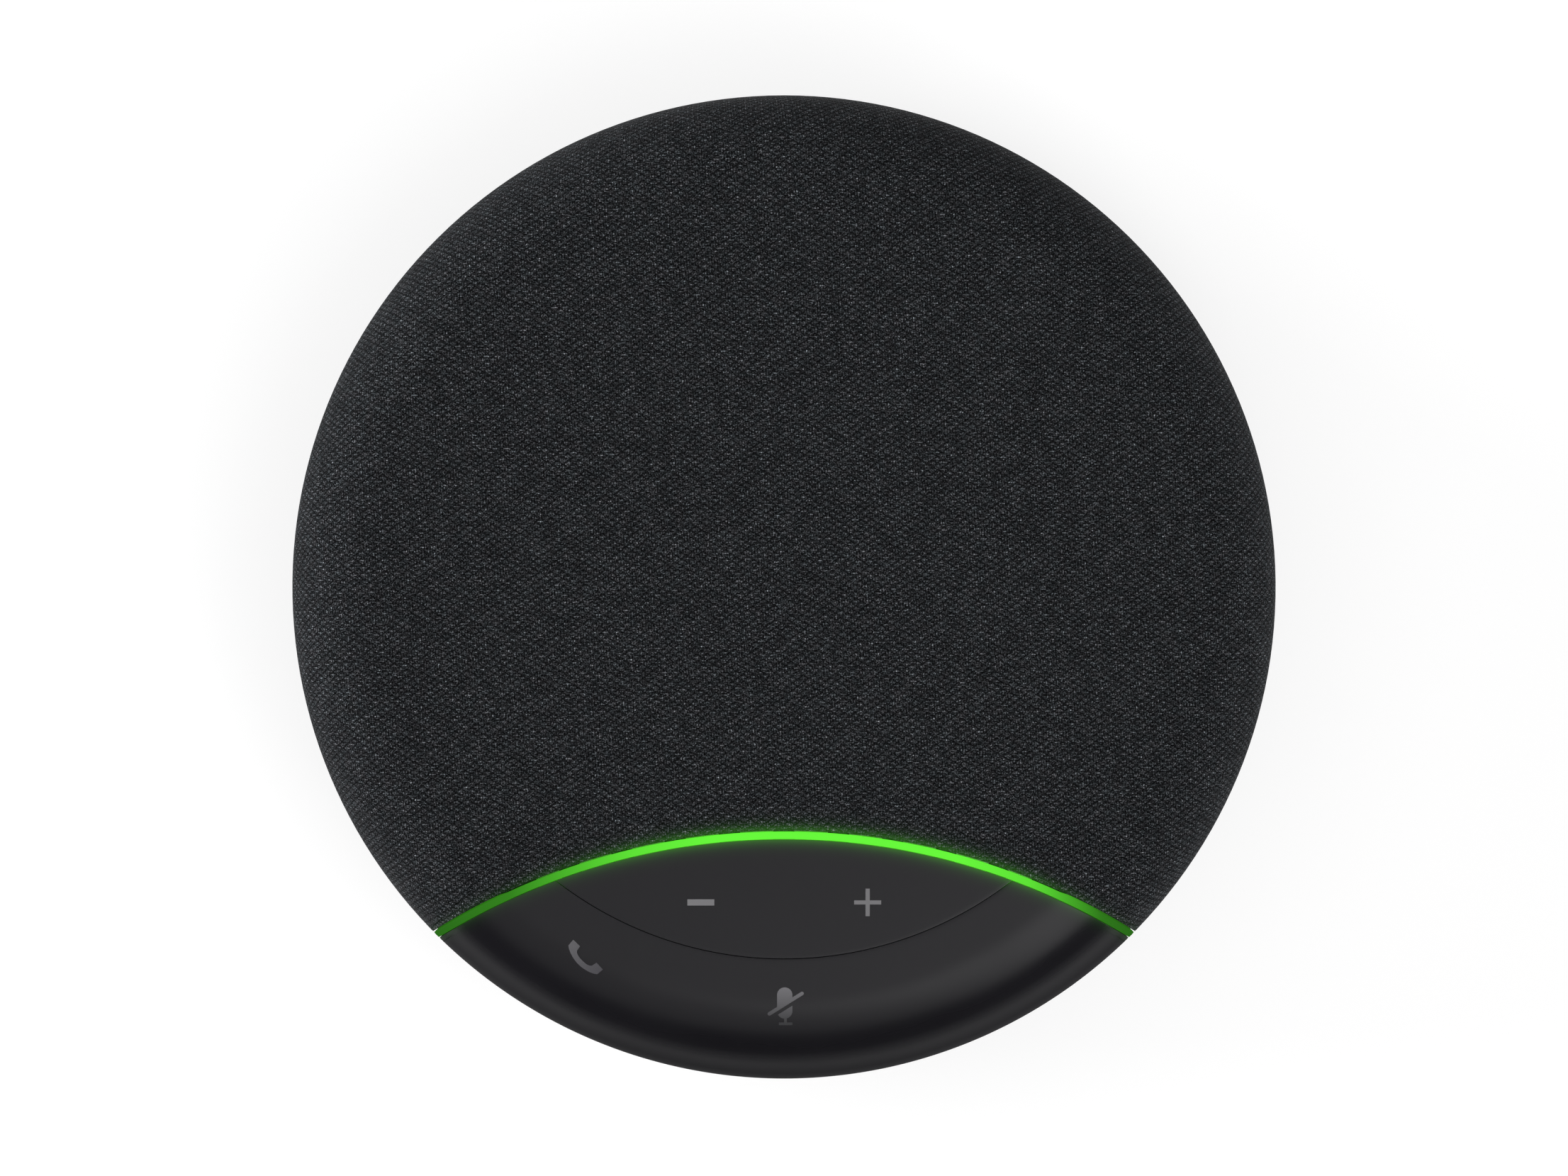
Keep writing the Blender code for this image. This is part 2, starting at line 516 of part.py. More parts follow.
def build_bottom(parts, finishes):
    """Bottom case, foot ring and case screws."""
    outer = [(BASE_RADIUS + CASE_FLARE * math.cos(t), SPLIT_HEIGHT + CASE_RISE * math.sin(t))
             for t in steps(-math.pi / 2, 0.0, 6)]
    start = -math.asin(LEDGE / (CASE_RISE - CASE_WALL))
    inner = [(BASE_RADIUS + (CASE_FLARE - CASE_WALL) * math.cos(t), SPLIT_HEIGHT + (CASE_RISE - CASE_WALL) * math.sin(t))
             for t in steps(start, -math.pi / 2, 5)]
    lip_in = FRAME_RADIUS - LIP_WALL
    lip = [(FRAME_RADIUS, SPLIT_HEIGHT), (FRAME_RADIUS, SPLIT_HEIGHT + LIP_HEIGHT), (lip_in, SPLIT_HEIGHT + LIP_HEIGHT),
           (lip_in, SPLIT_HEIGHT - LEDGE)]
    groove = [(0.0, FOOT_PROUD), (FOOT_INNER - FIT, FOOT_PROUD), (FOOT_INNER - FIT, GROOVE_TOP),
              (FOOT_OUTER + FIT, GROOVE_TOP), (FOOT_OUTER + FIT, FOOT_PROUD)]
    case = turned("bottom_case", groove + outer + lip + inner + [(0.0, FLOOR_TOP)], finishes["case"], FORM_SEGMENTS)
    root = FLOOR_TOP - CASE_WALL / 4
    join(case, prisms("boss_feet", [circle(CASE_BOSS_RADIUS, BOSS_SEGMENTS, at) for at in SCREW_PLACES], root, BOARD_BOTTOM - FIT))
    join(case, prisms("boss_necks", [circle(CASE_BOSS_NECK, BOSS_SEGMENTS, at) for at in SCREW_PLACES], root,
                      SPLIT_HEIGHT - FIT / 2))
    rest_y = BOARD_FRONT + CASE_BOSS_RADIUS
    rest_x = BOARD_RADIUS * 0.6
    join(case, prisms("board_rests", [circle(CASE_BOSS_RADIUS / 2, SMALL_SEGMENTS, (side * rest_x, rest_y)) for side in (1, -1)],
                      root, BOARD_BOTTOM - FIT))
    stop = BATTERY_WIDTH / 2 + FIT + 0.5 * MM
    middle = (BATTERY_FRONT + BATTERY_REAR) / 2
    join(case, prisms("battery_stops", [box(1.0 * MM, BATTERY_DEPTH * 0.4, (side * stop, middle)) for side in (1, -1)],
                      root, BATTERY_BOTTOM + BATTERY_HEIGHT / 2))
    pad = box(PORT_WIDTH + 3.0 * MM, PORT_WALL, (0.0, PORT_FACE - PORT_WALL / 2))
    join(case, prism("port_pad", pad, PORT_LOW, SPLIT_HEIGHT - LEDGE / 2, None))
    cut(case, prisms("head_sinks", [circle(SCREW_HEAD_RADIUS + FIT, BOSS_SEGMENTS, at) for at in SCREW_PLACES],
                     FOOT_PROUD, HEAD_TOP + FIT))
    cut(case, prisms("screw_bores", [circle(SCREW_RADIUS + FIT, SMALL_SEGMENTS, at) for at in SCREW_PLACES],
                     FOOT_PROUD, SPLIT_HEIGHT + MM))
    cut(case, prism("port_pocket", rounded(PORT_WIDTH, PORT_HEIGHT, 2.0 * MM, (0.0, PORT_Z)), PORT_FACE,
                    BODY_RADIUS + 5 * MM, None, 'Y'))
    slot = rounded(SOCKET_WIDTH + 2 * FIT, SOCKET_HEIGHT + 2 * FIT, SOCKET_HEIGHT / 2, (0.0, PORT_Z))
    cut(case, prism("port_slot", slot, PORT_FACE - 2 * PORT_WALL, BODY_RADIUS, None, 'Y'))
    key_hole = rounded(SIDE_KEY_WIDTH + 2 * FIT, SIDE_KEY_HEIGHT + 2 * FIT, SIDE_KEY_HEIGHT / 2, (0.0, SIDE_KEY_Z))
    for side in (1, -1):
        cut(case, prism("side_key_hole_%d" % (side > 0), key_hole, BASE_RADIUS, BODY_RADIUS + 5 * MM, None, 'Y',
                        turn=side * SIDE_KEY_ANGLE))
    parts.append(case)
    foot_top = GROOVE_TOP - FIT
    foot = [(FOOT_INNER, foot_top), (FOOT_INNER, FOOT_CHAMFER), (FOOT_INNER + FOOT_CHAMFER, 0.0),
            (FOOT_OUTER - FOOT_CHAMFER, 0.0), (FOOT_OUTER, FOOT_CHAMFER), (FOOT_OUTER, foot_top)]
    parts.append(turned("foot_ring", foot, finishes["rubber"], FORM_SEGMENTS))
    tip = SPLIT_HEIGHT + SCREW_GRIP
    shape = [(0.0, tip), (SCREW_RADIUS, tip), (SCREW_RADIUS, HEAD_TOP), (SCREW_HEAD_RADIUS, HEAD_TOP),
             (SCREW_HEAD_RADIUS, HEAD_BOTTOM), (0.0, HEAD_BOTTOM)]
    for index, at in enumerate(SCREW_PLACES, 1):
        parts.append(turned("case_screw_%d" % index, shape, finishes["steel"], SMALL_SEGMENTS, at + (0.0,)))


def build_electronics(parts, finishes):
    """Battery, main board and the pieces soldered to it."""
    cell = rounded(BATTERY_WIDTH, BATTERY_DEPTH, 2.0 * MM, (0.0, (BATTERY_FRONT + BATTERY_REAR) / 2))
    parts.append(prism("battery_pack", cell, BATTERY_BOTTOM, BATTERY_TOP, finishes["cell"]))
    start = math.asin(BOARD_FRONT / BOARD_RADIUS)
    outline = [(BOARD_RADIUS * math.cos(t), BOARD_RADIUS * math.sin(t)) for t in steps(start, math.pi - start, 28)]
    board = prism("main_board", outline, BOARD_BOTTOM, BOARD_TOP, finishes["board"])
    cut(board, prisms("board_holes", [circle(CASE_BOSS_NECK + FIT, BOSS_SEGMENTS, at) for at in SCREW_PLACES],
                      BOARD_BOTTOM - MM, BOARD_TOP + MM))
    parts.append(board)
    parts.append(prism("shield_can", rounded(SHIELD_WIDTH, SHIELD_DEPTH, MM, (0.0, SHIELD_Y)), BOARD_TOP + FIT,
                       SHIELD_TOP, finishes["tin"]))
    mouth = PORT_FACE - 0.1 * MM
    back = mouth - SOCKET_DEPTH
    socket = prism("usb_socket", rounded(SOCKET_WIDTH, SOCKET_HEIGHT, SOCKET_HEIGHT * 0.42, (0.0, PORT_Z)), back, mouth,
                   finishes["tin"], 'Y')
    inner = rounded(SOCKET_WIDTH - 2 * SOCKET_SHELL, SOCKET_HEIGHT - 2 * SOCKET_SHELL,
                    SOCKET_HEIGHT * 0.42 - SOCKET_SHELL, (0.0, PORT_Z))
    cut(socket, prism("socket_mouth", inner, back + 1.2 * MM, mouth + MM, None, 'Y'))
    tongue = box(SOCKET_WIDTH * 0.75, SOCKET_HEIGHT * 0.22, (0.0, PORT_Z))
    join(socket, prism("socket_tongue", tongue, back + 0.6 * MM, mouth - 0.8 * MM, None, 'Y'))
    parts.append(socket)


def smooth_path(knots, count):
    """Points along a smooth curve through the knots, count steps between each pair."""
    ends = [knots[0] * 2 - knots[1]] + knots + [knots[-1] * 2 - knots[-2]]
    path = []
    for a, b, c, d in zip(ends, ends[1:], ends[2:], ends[3:]):
        for index in range(count):
            t = index / count
            path.append(0.5 * (2 * b + (c - a) * t + (2 * a - 5 * b + 4 * c - d) * t ** 2
                               + (3 * b - 3 * c + d - a) * t ** 3))
    return path + [knots[-1]]


def tube(name, knots, radius, material):
    """Round lead along a smooth route, with closed ends."""
    curve = bpy.data.curves.new(name, 'CURVE')
    curve.dimensions = '3D'
    curve.bevel_depth = radius
    curve.bevel_resolution = 1
    curve.use_fill_caps = True
    curve.materials.append(material)
    path = smooth_path([Vector(knot) for knot in knots], 3)
    spline = curve.splines.new('POLY')
    spline.points.add(len(path) - 1)
    for point, spot in zip(spline.points, path):
        point.co = (*spot, 1.0)
    made = bpy.data.objects.new(name, curve)
    bpy.context.scene.collection.objects.link(made)
    return made


def build_leads(parts, finishes):
    """Battery lead, loudspeaker lead and key ribbon, each with its connector on the main board."""
    low = BOARD_TOP + FIT
    x = BATTERY_WIDTH / 4
    plug = box(PLUG_WIDTH, PLUG_DEPTH, (x, PLUG_FRONT + PLUG_DEPTH / 2))
    parts.append(prism("battery_plug", plug, low, PLUG_TOP, finishes["white"]))
    over = BATTERY_TOP + FIT + 2 * LEAD_RADIUS
    parts.append(tube("battery_lead", [(x, BATTERY_REAR - 4 * LEAD_RADIUS, BATTERY_TOP + FIT),
                                       (x, BATTERY_REAR - 3 * LEAD_RADIUS, over),
                                       (x, BOARD_FRONT, max(over, PLUG_Z) + LEAD_RADIUS / 2),
                                       (x, PLUG_FRONT - FIT, PLUG_Z)], LEAD_RADIUS, finishes["lead"]))
    spot_x = SPEAKER_RADIUS + PLUG_WIDTH
    parts.append(prism("speaker_plug", box(PLUG_DEPTH, PLUG_WIDTH, (spot_x, SPEAKER_OFFSET)), low, PLUG_TOP,
                       finishes["white"]))
    out = Vector((math.cos(math.radians(30.0)), math.sin(math.radians(30.0))))
    centre = Vector((0.0, SPEAKER_OFFSET))
    height = (BASKET_FLOOR + FLANGE_BOTTOM) / 2
    wall = (SURROUND_OUTER - SURROUND_LIP + MAGNET_RADIUS + BASKET_WALL) / 2 + BASKET_WALL + LEAD_RADIUS
    tab = centre + out * wall
    bend = centre + out * (wall + 4 * LEAD_RADIUS)
    middle = (BOARD_TOP + height) / 2
    parts.append(tube("speaker_lead", [(tab.x, tab.y, height), (bend.x, bend.y, height - LEAD_RADIUS),
                                       (spot_x - LEAD_RADIUS, SPEAKER_OFFSET + PLUG_WIDTH, middle + 2 * LEAD_RADIUS),
                                       (spot_x, SPEAKER_OFFSET, PLUG_TOP + FIT + 6 * LEAD_RADIUS),
                                       (spot_x, SPEAKER_OFFSET, PLUG_TOP + FIT)], LEAD_RADIUS, finishes["lead"]))
    parts.append(prism("ribbon_socket", box(RIBBON_WIDTH + 2 * MM, PLUG_DEPTH, (RIBBON_X, PLUG_FRONT + PLUG_DEPTH / 2)),
                       low, PLUG_TOP, finishes["white"]))
    turn = 5 * RIBBON_THICKNESS
    top = (KEY_BOARD_TOP + KEY_BOARD_BOTTOM) / 2
    knots = [Vector((RIBBON_START, top)), Vector((RIBBON_DROP - RIBBON_THICKNESS, top - RIBBON_THICKNESS)),
             Vector((RIBBON_DROP, FRAME_BOTTOM)), Vector((RIBBON_DROP, BATTERY_TOP + 3 * turn)),
             Vector((BATTERY_REAR, BATTERY_TOP + turn)), Vector((PLUG_FRONT - FIT, PLUG_Z))]
    path = smooth_path(knots, 3)
    ahead = path[1:] + [path[-1] * 2 - path[-2]]
    behind = [path[0] * 2 - path[1]] + path[:-1]
    sides = [(b - a).normalized() for a, b in zip(behind, ahead)]
    half = RIBBON_THICKNESS / 2
    upper = [(q.x - d.y * half, q.y + d.x * half) for q, d in zip(path, sides)]
    under = [(q.x + d.y * half, q.y - d.x * half) for q, d in zip(path, sides)]
    parts.append(prism("key_ribbon", upper + under[::-1], RIBBON_X - RIBBON_WIDTH / 2, RIBBON_X + RIBBON_WIDTH / 2,
                       finishes["ribbon"], 'X'))


def build_side_keys(parts, finishes):
    """Power and pairing keys in the rear of the case, each with its switch on the main board."""
    low = SIDE_KEY_Z - SIDE_KEY_HEIGHT / 2 - SIDE_KEY_COLLAR
    half = SIDE_KEY_WIDTH / 2 + SIDE_KEY_COLLAR
    collar_face = math.sqrt(case_radius(low, CASE_WALL) ** 2 - half ** 2) - FIT
    inner_face = collar_face - SIDE_KEY_COLLAR
    bowl = [(BASE_RADIUS + (CASE_FLARE + SIDE_KEY_PROUD) * math.cos(t),
             SPLIT_HEIGHT + (CASE_RISE + SIDE_KEY_PROUD) * math.sin(t)) for t in steps(-math.pi / 2, 0.0, 8)]
    limit = turned("side_key_limit", [(0.0, bowl[0][1])] + bowl + [(0.0, SPLIT_HEIGHT)], None, FORM_SEGMENTS)
    for name, side in (("power_button", 1), ("pairing_button", -1)):
        turn = side * SIDE_KEY_ANGLE
        key = prism(name, rounded(SIDE_KEY_WIDTH, SIDE_KEY_HEIGHT, SIDE_KEY_HEIGHT * 0.48), inner_face,
                    BODY_RADIUS + 2 * MM, finishes["key"], 'Y', (0.0, 0.0, SIDE_KEY_Z), turn)
        collar = rounded(2 * half, SIDE_KEY_HEIGHT + 2 * SIDE_KEY_COLLAR, SIDE_KEY_HEIGHT / 2)
        join(key, prism(name + "_collar", collar, inner_face - 0.01 * MM, collar_face, None, 'Y', (0.0, 0.0, SIDE_KEY_Z), turn))
        keep(key, limit)
        parts.append(key)
    reach = inner_face - KEY_TRAVEL - 0.1 * MM
    for name, side in (("power_switch", 1), ("pairing_switch", -1)):
        body = box(SWITCH_SIDE, SOCKET_HEIGHT)
        block = stepped_block(name, body, reach - SIDE_SWITCH_DEPTH, reach - 0.7 * MM, SOCKET_HEIGHT * 0.3, reach,
                              finishes["switch"])
        spin = Matrix.Rotation(side * SIDE_KEY_ANGLE, 4, 'Z')
        lie = Matrix(((1, 0, 0, 0), (0, 0, 1, 0), (0, -1, 0, 0), (0, 0, 0, 1)))
        block.data.transform(Matrix.Translation((0.0, 0.0, PORT_Z)) @ spin @ lie)
        parts.append(block)


def build_frame(parts, finishes):
    """Inner frame that carries the loudspeaker, the key board, the microphones and the grille."""
    skirt = FRAME_RADIUS - FRAME_SKIRT_WALL
    profile = [(0.0, FRAME_BOTTOM), (skirt, FRAME_BOTTOM), (skirt, FRAME_FOOT), (FRAME_RADIUS, FRAME_FOOT),
               (FRAME_RADIUS, SHOULDER_CENTRE), (FRAME_SHOULDER, FRAME_TOP), (0.0, FRAME_TOP)]
    frame = turned("inner_frame", profile, finishes["frame"], FORM_SEGMENTS)
    join(frame, prisms("frame_bosses", [circle(FRAME_BOSS_RADIUS, BOSS_SEGMENTS, at) for at in SCREW_PLACES],
                       SPLIT_HEIGHT + FIT / 2, FRAME_TOP - FRAME_PLATE / 2))
    reach = BODY_RADIUS - GRILLE_INSET - FIT
    inner = FRAME_RADIUS - FRAME_SKIRT_WALL / 2
    tabs = [turned_box(FRAME_TAB_WIDTH, reach - inner - 0.2 * MM, (reach + inner) / 2 - 0.1 * MM, math.radians(angle))
            for angle in (0, 45, 90, 135, 180)]
    join(frame, prisms("frame_tabs", tabs, FRAME_FOOT + FIT, SHOULDER_CENTRE - FIT))
    ear_y = (RIB_LENGTH + EAR_THICKNESS) / 2 + FIT
    ears = [box(EAR_WIDTH, EAR_THICKNESS, (0.0, PIVOT_Y + side * ear_y)) for side in (1, -1)]
    ear_top = ROCKER_UNDERSIDE - FIT
    join(frame, prisms("pivot_ears", ears, FRAME_TOP - FRAME_PLATE / 2, ear_top))
    cut(frame, prism("pivot_bore", circle(PIN_RADIUS + PIN_PLAY, SMALL_SEGMENTS, (0.0, PIVOT_Z)), PIVOT_Y - PIVOT_SPAN,
                     PIVOT_Y + PIVOT_SPAN, None, 'Y'))
    cut(frame, prism("driver_opening", circle(SURROUND_OUTER, DRIVER_SEGMENTS, (0.0, SPEAKER_OFFSET)), FRAME_BOTTOM - MM,
                     FRAME_TOP + MM, None))
    cut(frame, prisms("frame_screw_bores", [circle(SCREW_RADIUS + 0.1 * MM, SMALL_SEGMENTS, at) for at in SCREW_PLACES],
                      SPLIT_HEIGHT - MM, SPLIT_HEIGHT + SCREW_GRIP + MM))
    cut(frame, prisms("speaker_screw_bores",
                      [circle(SPEAKER_SCREW_RADIUS + 0.1 * MM, 8, at) for at in speaker_screw_places()],
                      FRAME_BOTTOM - MM, FRAME_TOP + MM))
    cut(frame, prism("ribbon_slot", box(RIBBON_WIDTH + 2 * MM, 6 * RIBBON_THICKNESS, (RIBBON_X, RIBBON_DROP)),
                     FRAME_BOTTOM - MM, FRAME_TOP + MM, None))
    cut(frame, prisms("guide_bores", [circle(LEG_RADIUS + FIT, SMALL_SEGMENTS, on_ring(LEG_CIRCLE, side * KEY_GUIDE_ANGLE))
                                      for side in (1, -1)], FRAME_BOTTOM - MM, FRAME_TOP + MM))
    parts.append(frame)
    pin_half = PIVOT_SPAN / 2
    pin = prism("rocker_pin", circle(PIN_RADIUS, SMALL_SEGMENTS), -pin_half, pin_half, finishes["steel"], 'Y',
                (0.0, PIVOT_Y, PIVOT_Z))
    parts.append(pin)


def speaker_screw_places():
    """Plan points of the loudspeaker's flange screws."""
    return [(SPEAKER_SCREW_CIRCLE * math.cos(math.radians(angle)),
             SPEAKER_OFFSET + SPEAKER_SCREW_CIRCLE * math.sin(math.radians(angle))) for angle in (45, 135, 225, 315)]


def build_speaker(parts, finishes):
    """Loudspeaker hung under the frame, its motor and its moving cone."""
    at = (0.0, SPEAKER_OFFSET, 0.0)

    def add(name, profile, look, segments=DRIVER_SEGMENTS):
        made = turned(name, profile, finishes[look], segments, at)
        parts.append(made)
        return made

    gasket_low = FLANGE_TOP + FIT
    add("speaker_gasket", [(GASKET_INNER, gasket_low + SPEAKER_GASKET), (GASKET_INNER, gasket_low),
                           (GASKET_OUTER, gasket_low), (GASKET_OUTER, gasket_low + SPEAKER_GASKET)], "foam")
    lip = SURROUND_OUTER - SURROUND_LIP
    coil_in = COIL_RADIUS - COIL_THICKNESS / 2
    coil_out = COIL_RADIUS + COIL_THICKNESS / 2
    wall_low = MAGNET_RADIUS + BASKET_WALL
    basket = add("speaker_basket", [(SPEAKER_RADIUS, FLANGE_TOP), (SPEAKER_RADIUS, FLANGE_BOTTOM),
                                    (lip + BASKET_WALL, FLANGE_BOTTOM), (wall_low + BASKET_WALL, BASKET_BOTTOM),
                                    (coil_out + AIR_GAP + MM, BASKET_BOTTOM), (coil_out + AIR_GAP + MM, BASKET_FLOOR),
                                    (wall_low, BASKET_FLOOR), (lip, FLANGE_BOTTOM), (lip, FLANGE_TOP)], "steel_dark")
    window_low = BASKET_FLOOR + (FLANGE_BOTTOM - BASKET_FLOOR) * 0.3
    window_high = BASKET_FLOOR + (FLANGE_BOTTOM - BASKET_FLOOR) * 0.85
    windows = [turned_box(12.0 * MM, SPEAKER_RADIUS - MAGNET_RADIUS, (SPEAKER_RADIUS + MAGNET_RADIUS) / 2,
                          math.radians(angle)) for angle in (0, 90, 180, 270)]
    opening = prisms("basket_windows", windows, window_low, window_high)
    opening.location = at
    cut(basket, opening)
    bores = prisms("flange_bores", [circle(SPEAKER_SCREW_RADIUS + 0.1 * MM, 8, spot) for spot in speaker_screw_places()],
                   FLANGE_BOTTOM - MM, FLANGE_TOP + MM)
    cut(basket, bores)
    pole = coil_in - AIR_GAP
    plate_top = TOP_PLATE_BOTTOM + TOP_PLATE
    yoke_top = MOTOR_BOTTOM + YOKE_PLATE
    add("speaker_yoke", [(0.0, MOTOR_BOTTOM), (MAGNET_RADIUS, MOTOR_BOTTOM), (MAGNET_RADIUS, yoke_top),
                         (pole, yoke_top), (pole, plate_top), (0.0, plate_top)], "steel")
    bore = coil_out + AIR_GAP
    add("speaker_magnet", [(bore + MM, MAGNET_BOTTOM + MAGNET_HEIGHT), (bore + MM, MAGNET_BOTTOM),
                           (MAGNET_RADIUS, MAGNET_BOTTOM), (MAGNET_RADIUS, MAGNET_BOTTOM + MAGNET_HEIGHT)], "magnet")
    add("speaker_top_plate", [(bore, plate_top), (bore, TOP_PLATE_BOTTOM), (MAGNET_RADIUS, TOP_PLATE_BOTTOM),
                              (MAGNET_RADIUS, plate_top)], "steel")
    coil_low = (MAGNET_BOTTOM + TOP_PLATE_BOTTOM) / 2
    coil_top = CONE_NECK + CONE_THICKNESS + FIT
    add("voice_coil", [(coil_in, coil_top), (coil_in, coil_low), (coil_out, coil_low), (coil_out, coil_top)], "copper")
    spider_in = coil_out + FIT
    foot = MAGNET_RADIUS - MM
    waves = [(spider_in + (foot - spider_in) * k / 4, SPIDER_TOP - (0.6 * MM if k % 2 else 0.0)) for k in range(5)]
    under = [(r, z - SPIDER_THICKNESS) for r, z in waves]
    add("speaker_spider", waves + [(foot + SPIDER_THICKNESS, SPIDER_TOP), (foot + SPIDER_THICKNESS, BASKET_FLOOR + FIT),
                                   (foot, BASKET_FLOOR + FIT)] + under[:0:-1] + [under[0]], "spider")
    neck = coil_out + FIT
    rim = CONE_RADIUS - SURROUND_LIP
    cone_low = CONE_NECK
    add("speaker_cone", [(neck, cone_low + CONE_THICKNESS), (neck, cone_low), (neck + MM, cone_low),
                         (rim, FLANGE_TOP - CONE_THICKNESS), (CONE_RADIUS, FLANGE_TOP - CONE_THICKNESS),
                         (CONE_RADIUS, FLANGE_TOP), (rim - 0.3 * MM, FLANGE_TOP),
                         (neck + 0.7 * MM, cone_low + CONE_THICKNESS)], "paper")
    cap_low = coil_top + FIT
    cap = COIL_RADIUS + DUST_CAP_MARGIN
    dome = [(cap * math.sin(t), cap_low + DUST_CAP_RISE * math.cos(t)) for t in steps(0.0, math.pi / 2, 3)]
    hollow = [((cap - CONE_THICKNESS) * math.sin(t), cap_low + (DUST_CAP_RISE - CONE_THICKNESS) * math.cos(t))
              for t in steps(math.pi / 2, 0.0, 3)]
    add("dust_cap", dome + hollow, "paper")
    base = FLANGE_TOP + FIT
    middle = (CONE_RADIUS + lip) / 2
    roll = (lip - CONE_RADIUS) / 2
    over = [(middle - roll * math.cos(t), base + SURROUND_THICKNESS + roll * 0.8 * math.sin(t))
            for t in steps(0.0, math.pi, 4)]
    inside = [(middle + (roll - SURROUND_THICKNESS) * math.cos(t), base + (roll * 0.8) * math.sin(t))
              for t in steps(0.0, math.pi, 4)]
    add("speaker_surround", [(CONE_RADIUS - SURROUND_LIP * 0.8, base),
                             (CONE_RADIUS - SURROUND_LIP * 0.8, base + SURROUND_THICKNESS)] + over
        + [(SURROUND_OUTER - FIT, base + SURROUND_THICKNESS), (SURROUND_OUTER - FIT, base)] + inside, "rubber")
    head_top = FLANGE_BOTTOM - FIT
    head = SPEAKER_SCREW_RADIUS * 1.7
    screw = [(0.0, FRAME_TOP - FRAME_PLATE / 4), (SPEAKER_SCREW_RADIUS, FRAME_TOP - FRAME_PLATE / 4),
             (SPEAKER_SCREW_RADIUS, head_top), (head, head_top), (head, head_top - 0.9 * MM), (0.0, head_top - 0.9 * MM)]
    for index, spot in enumerate(speaker_screw_places(), 1):
        parts.append(turned("speaker_screw_%d" % index, screw, finishes["steel"], 8, spot + (0.0,)))


def switch_places():
    """Names, plan points and turns of the key board's switches."""
    volume_y = (arc_depth(ROCKER_REACH, PANEL_EDGE) - math.sqrt(ROCKER_OUTER ** 2 - ROCKER_REACH ** 2)) / 2
    return [("volume_down_switch", (-ROCKER_REACH, volume_y), 0.0), ("volume_up_switch", (ROCKER_REACH, volume_y), 0.0),
            ("call_switch", on_ring(LEG_CIRCLE, -KEY_LEG_ANGLE), -KEY_LEG_ANGLE),
            ("mute_switch", on_ring(LEG_CIRCLE, 0.0), 0.0)]


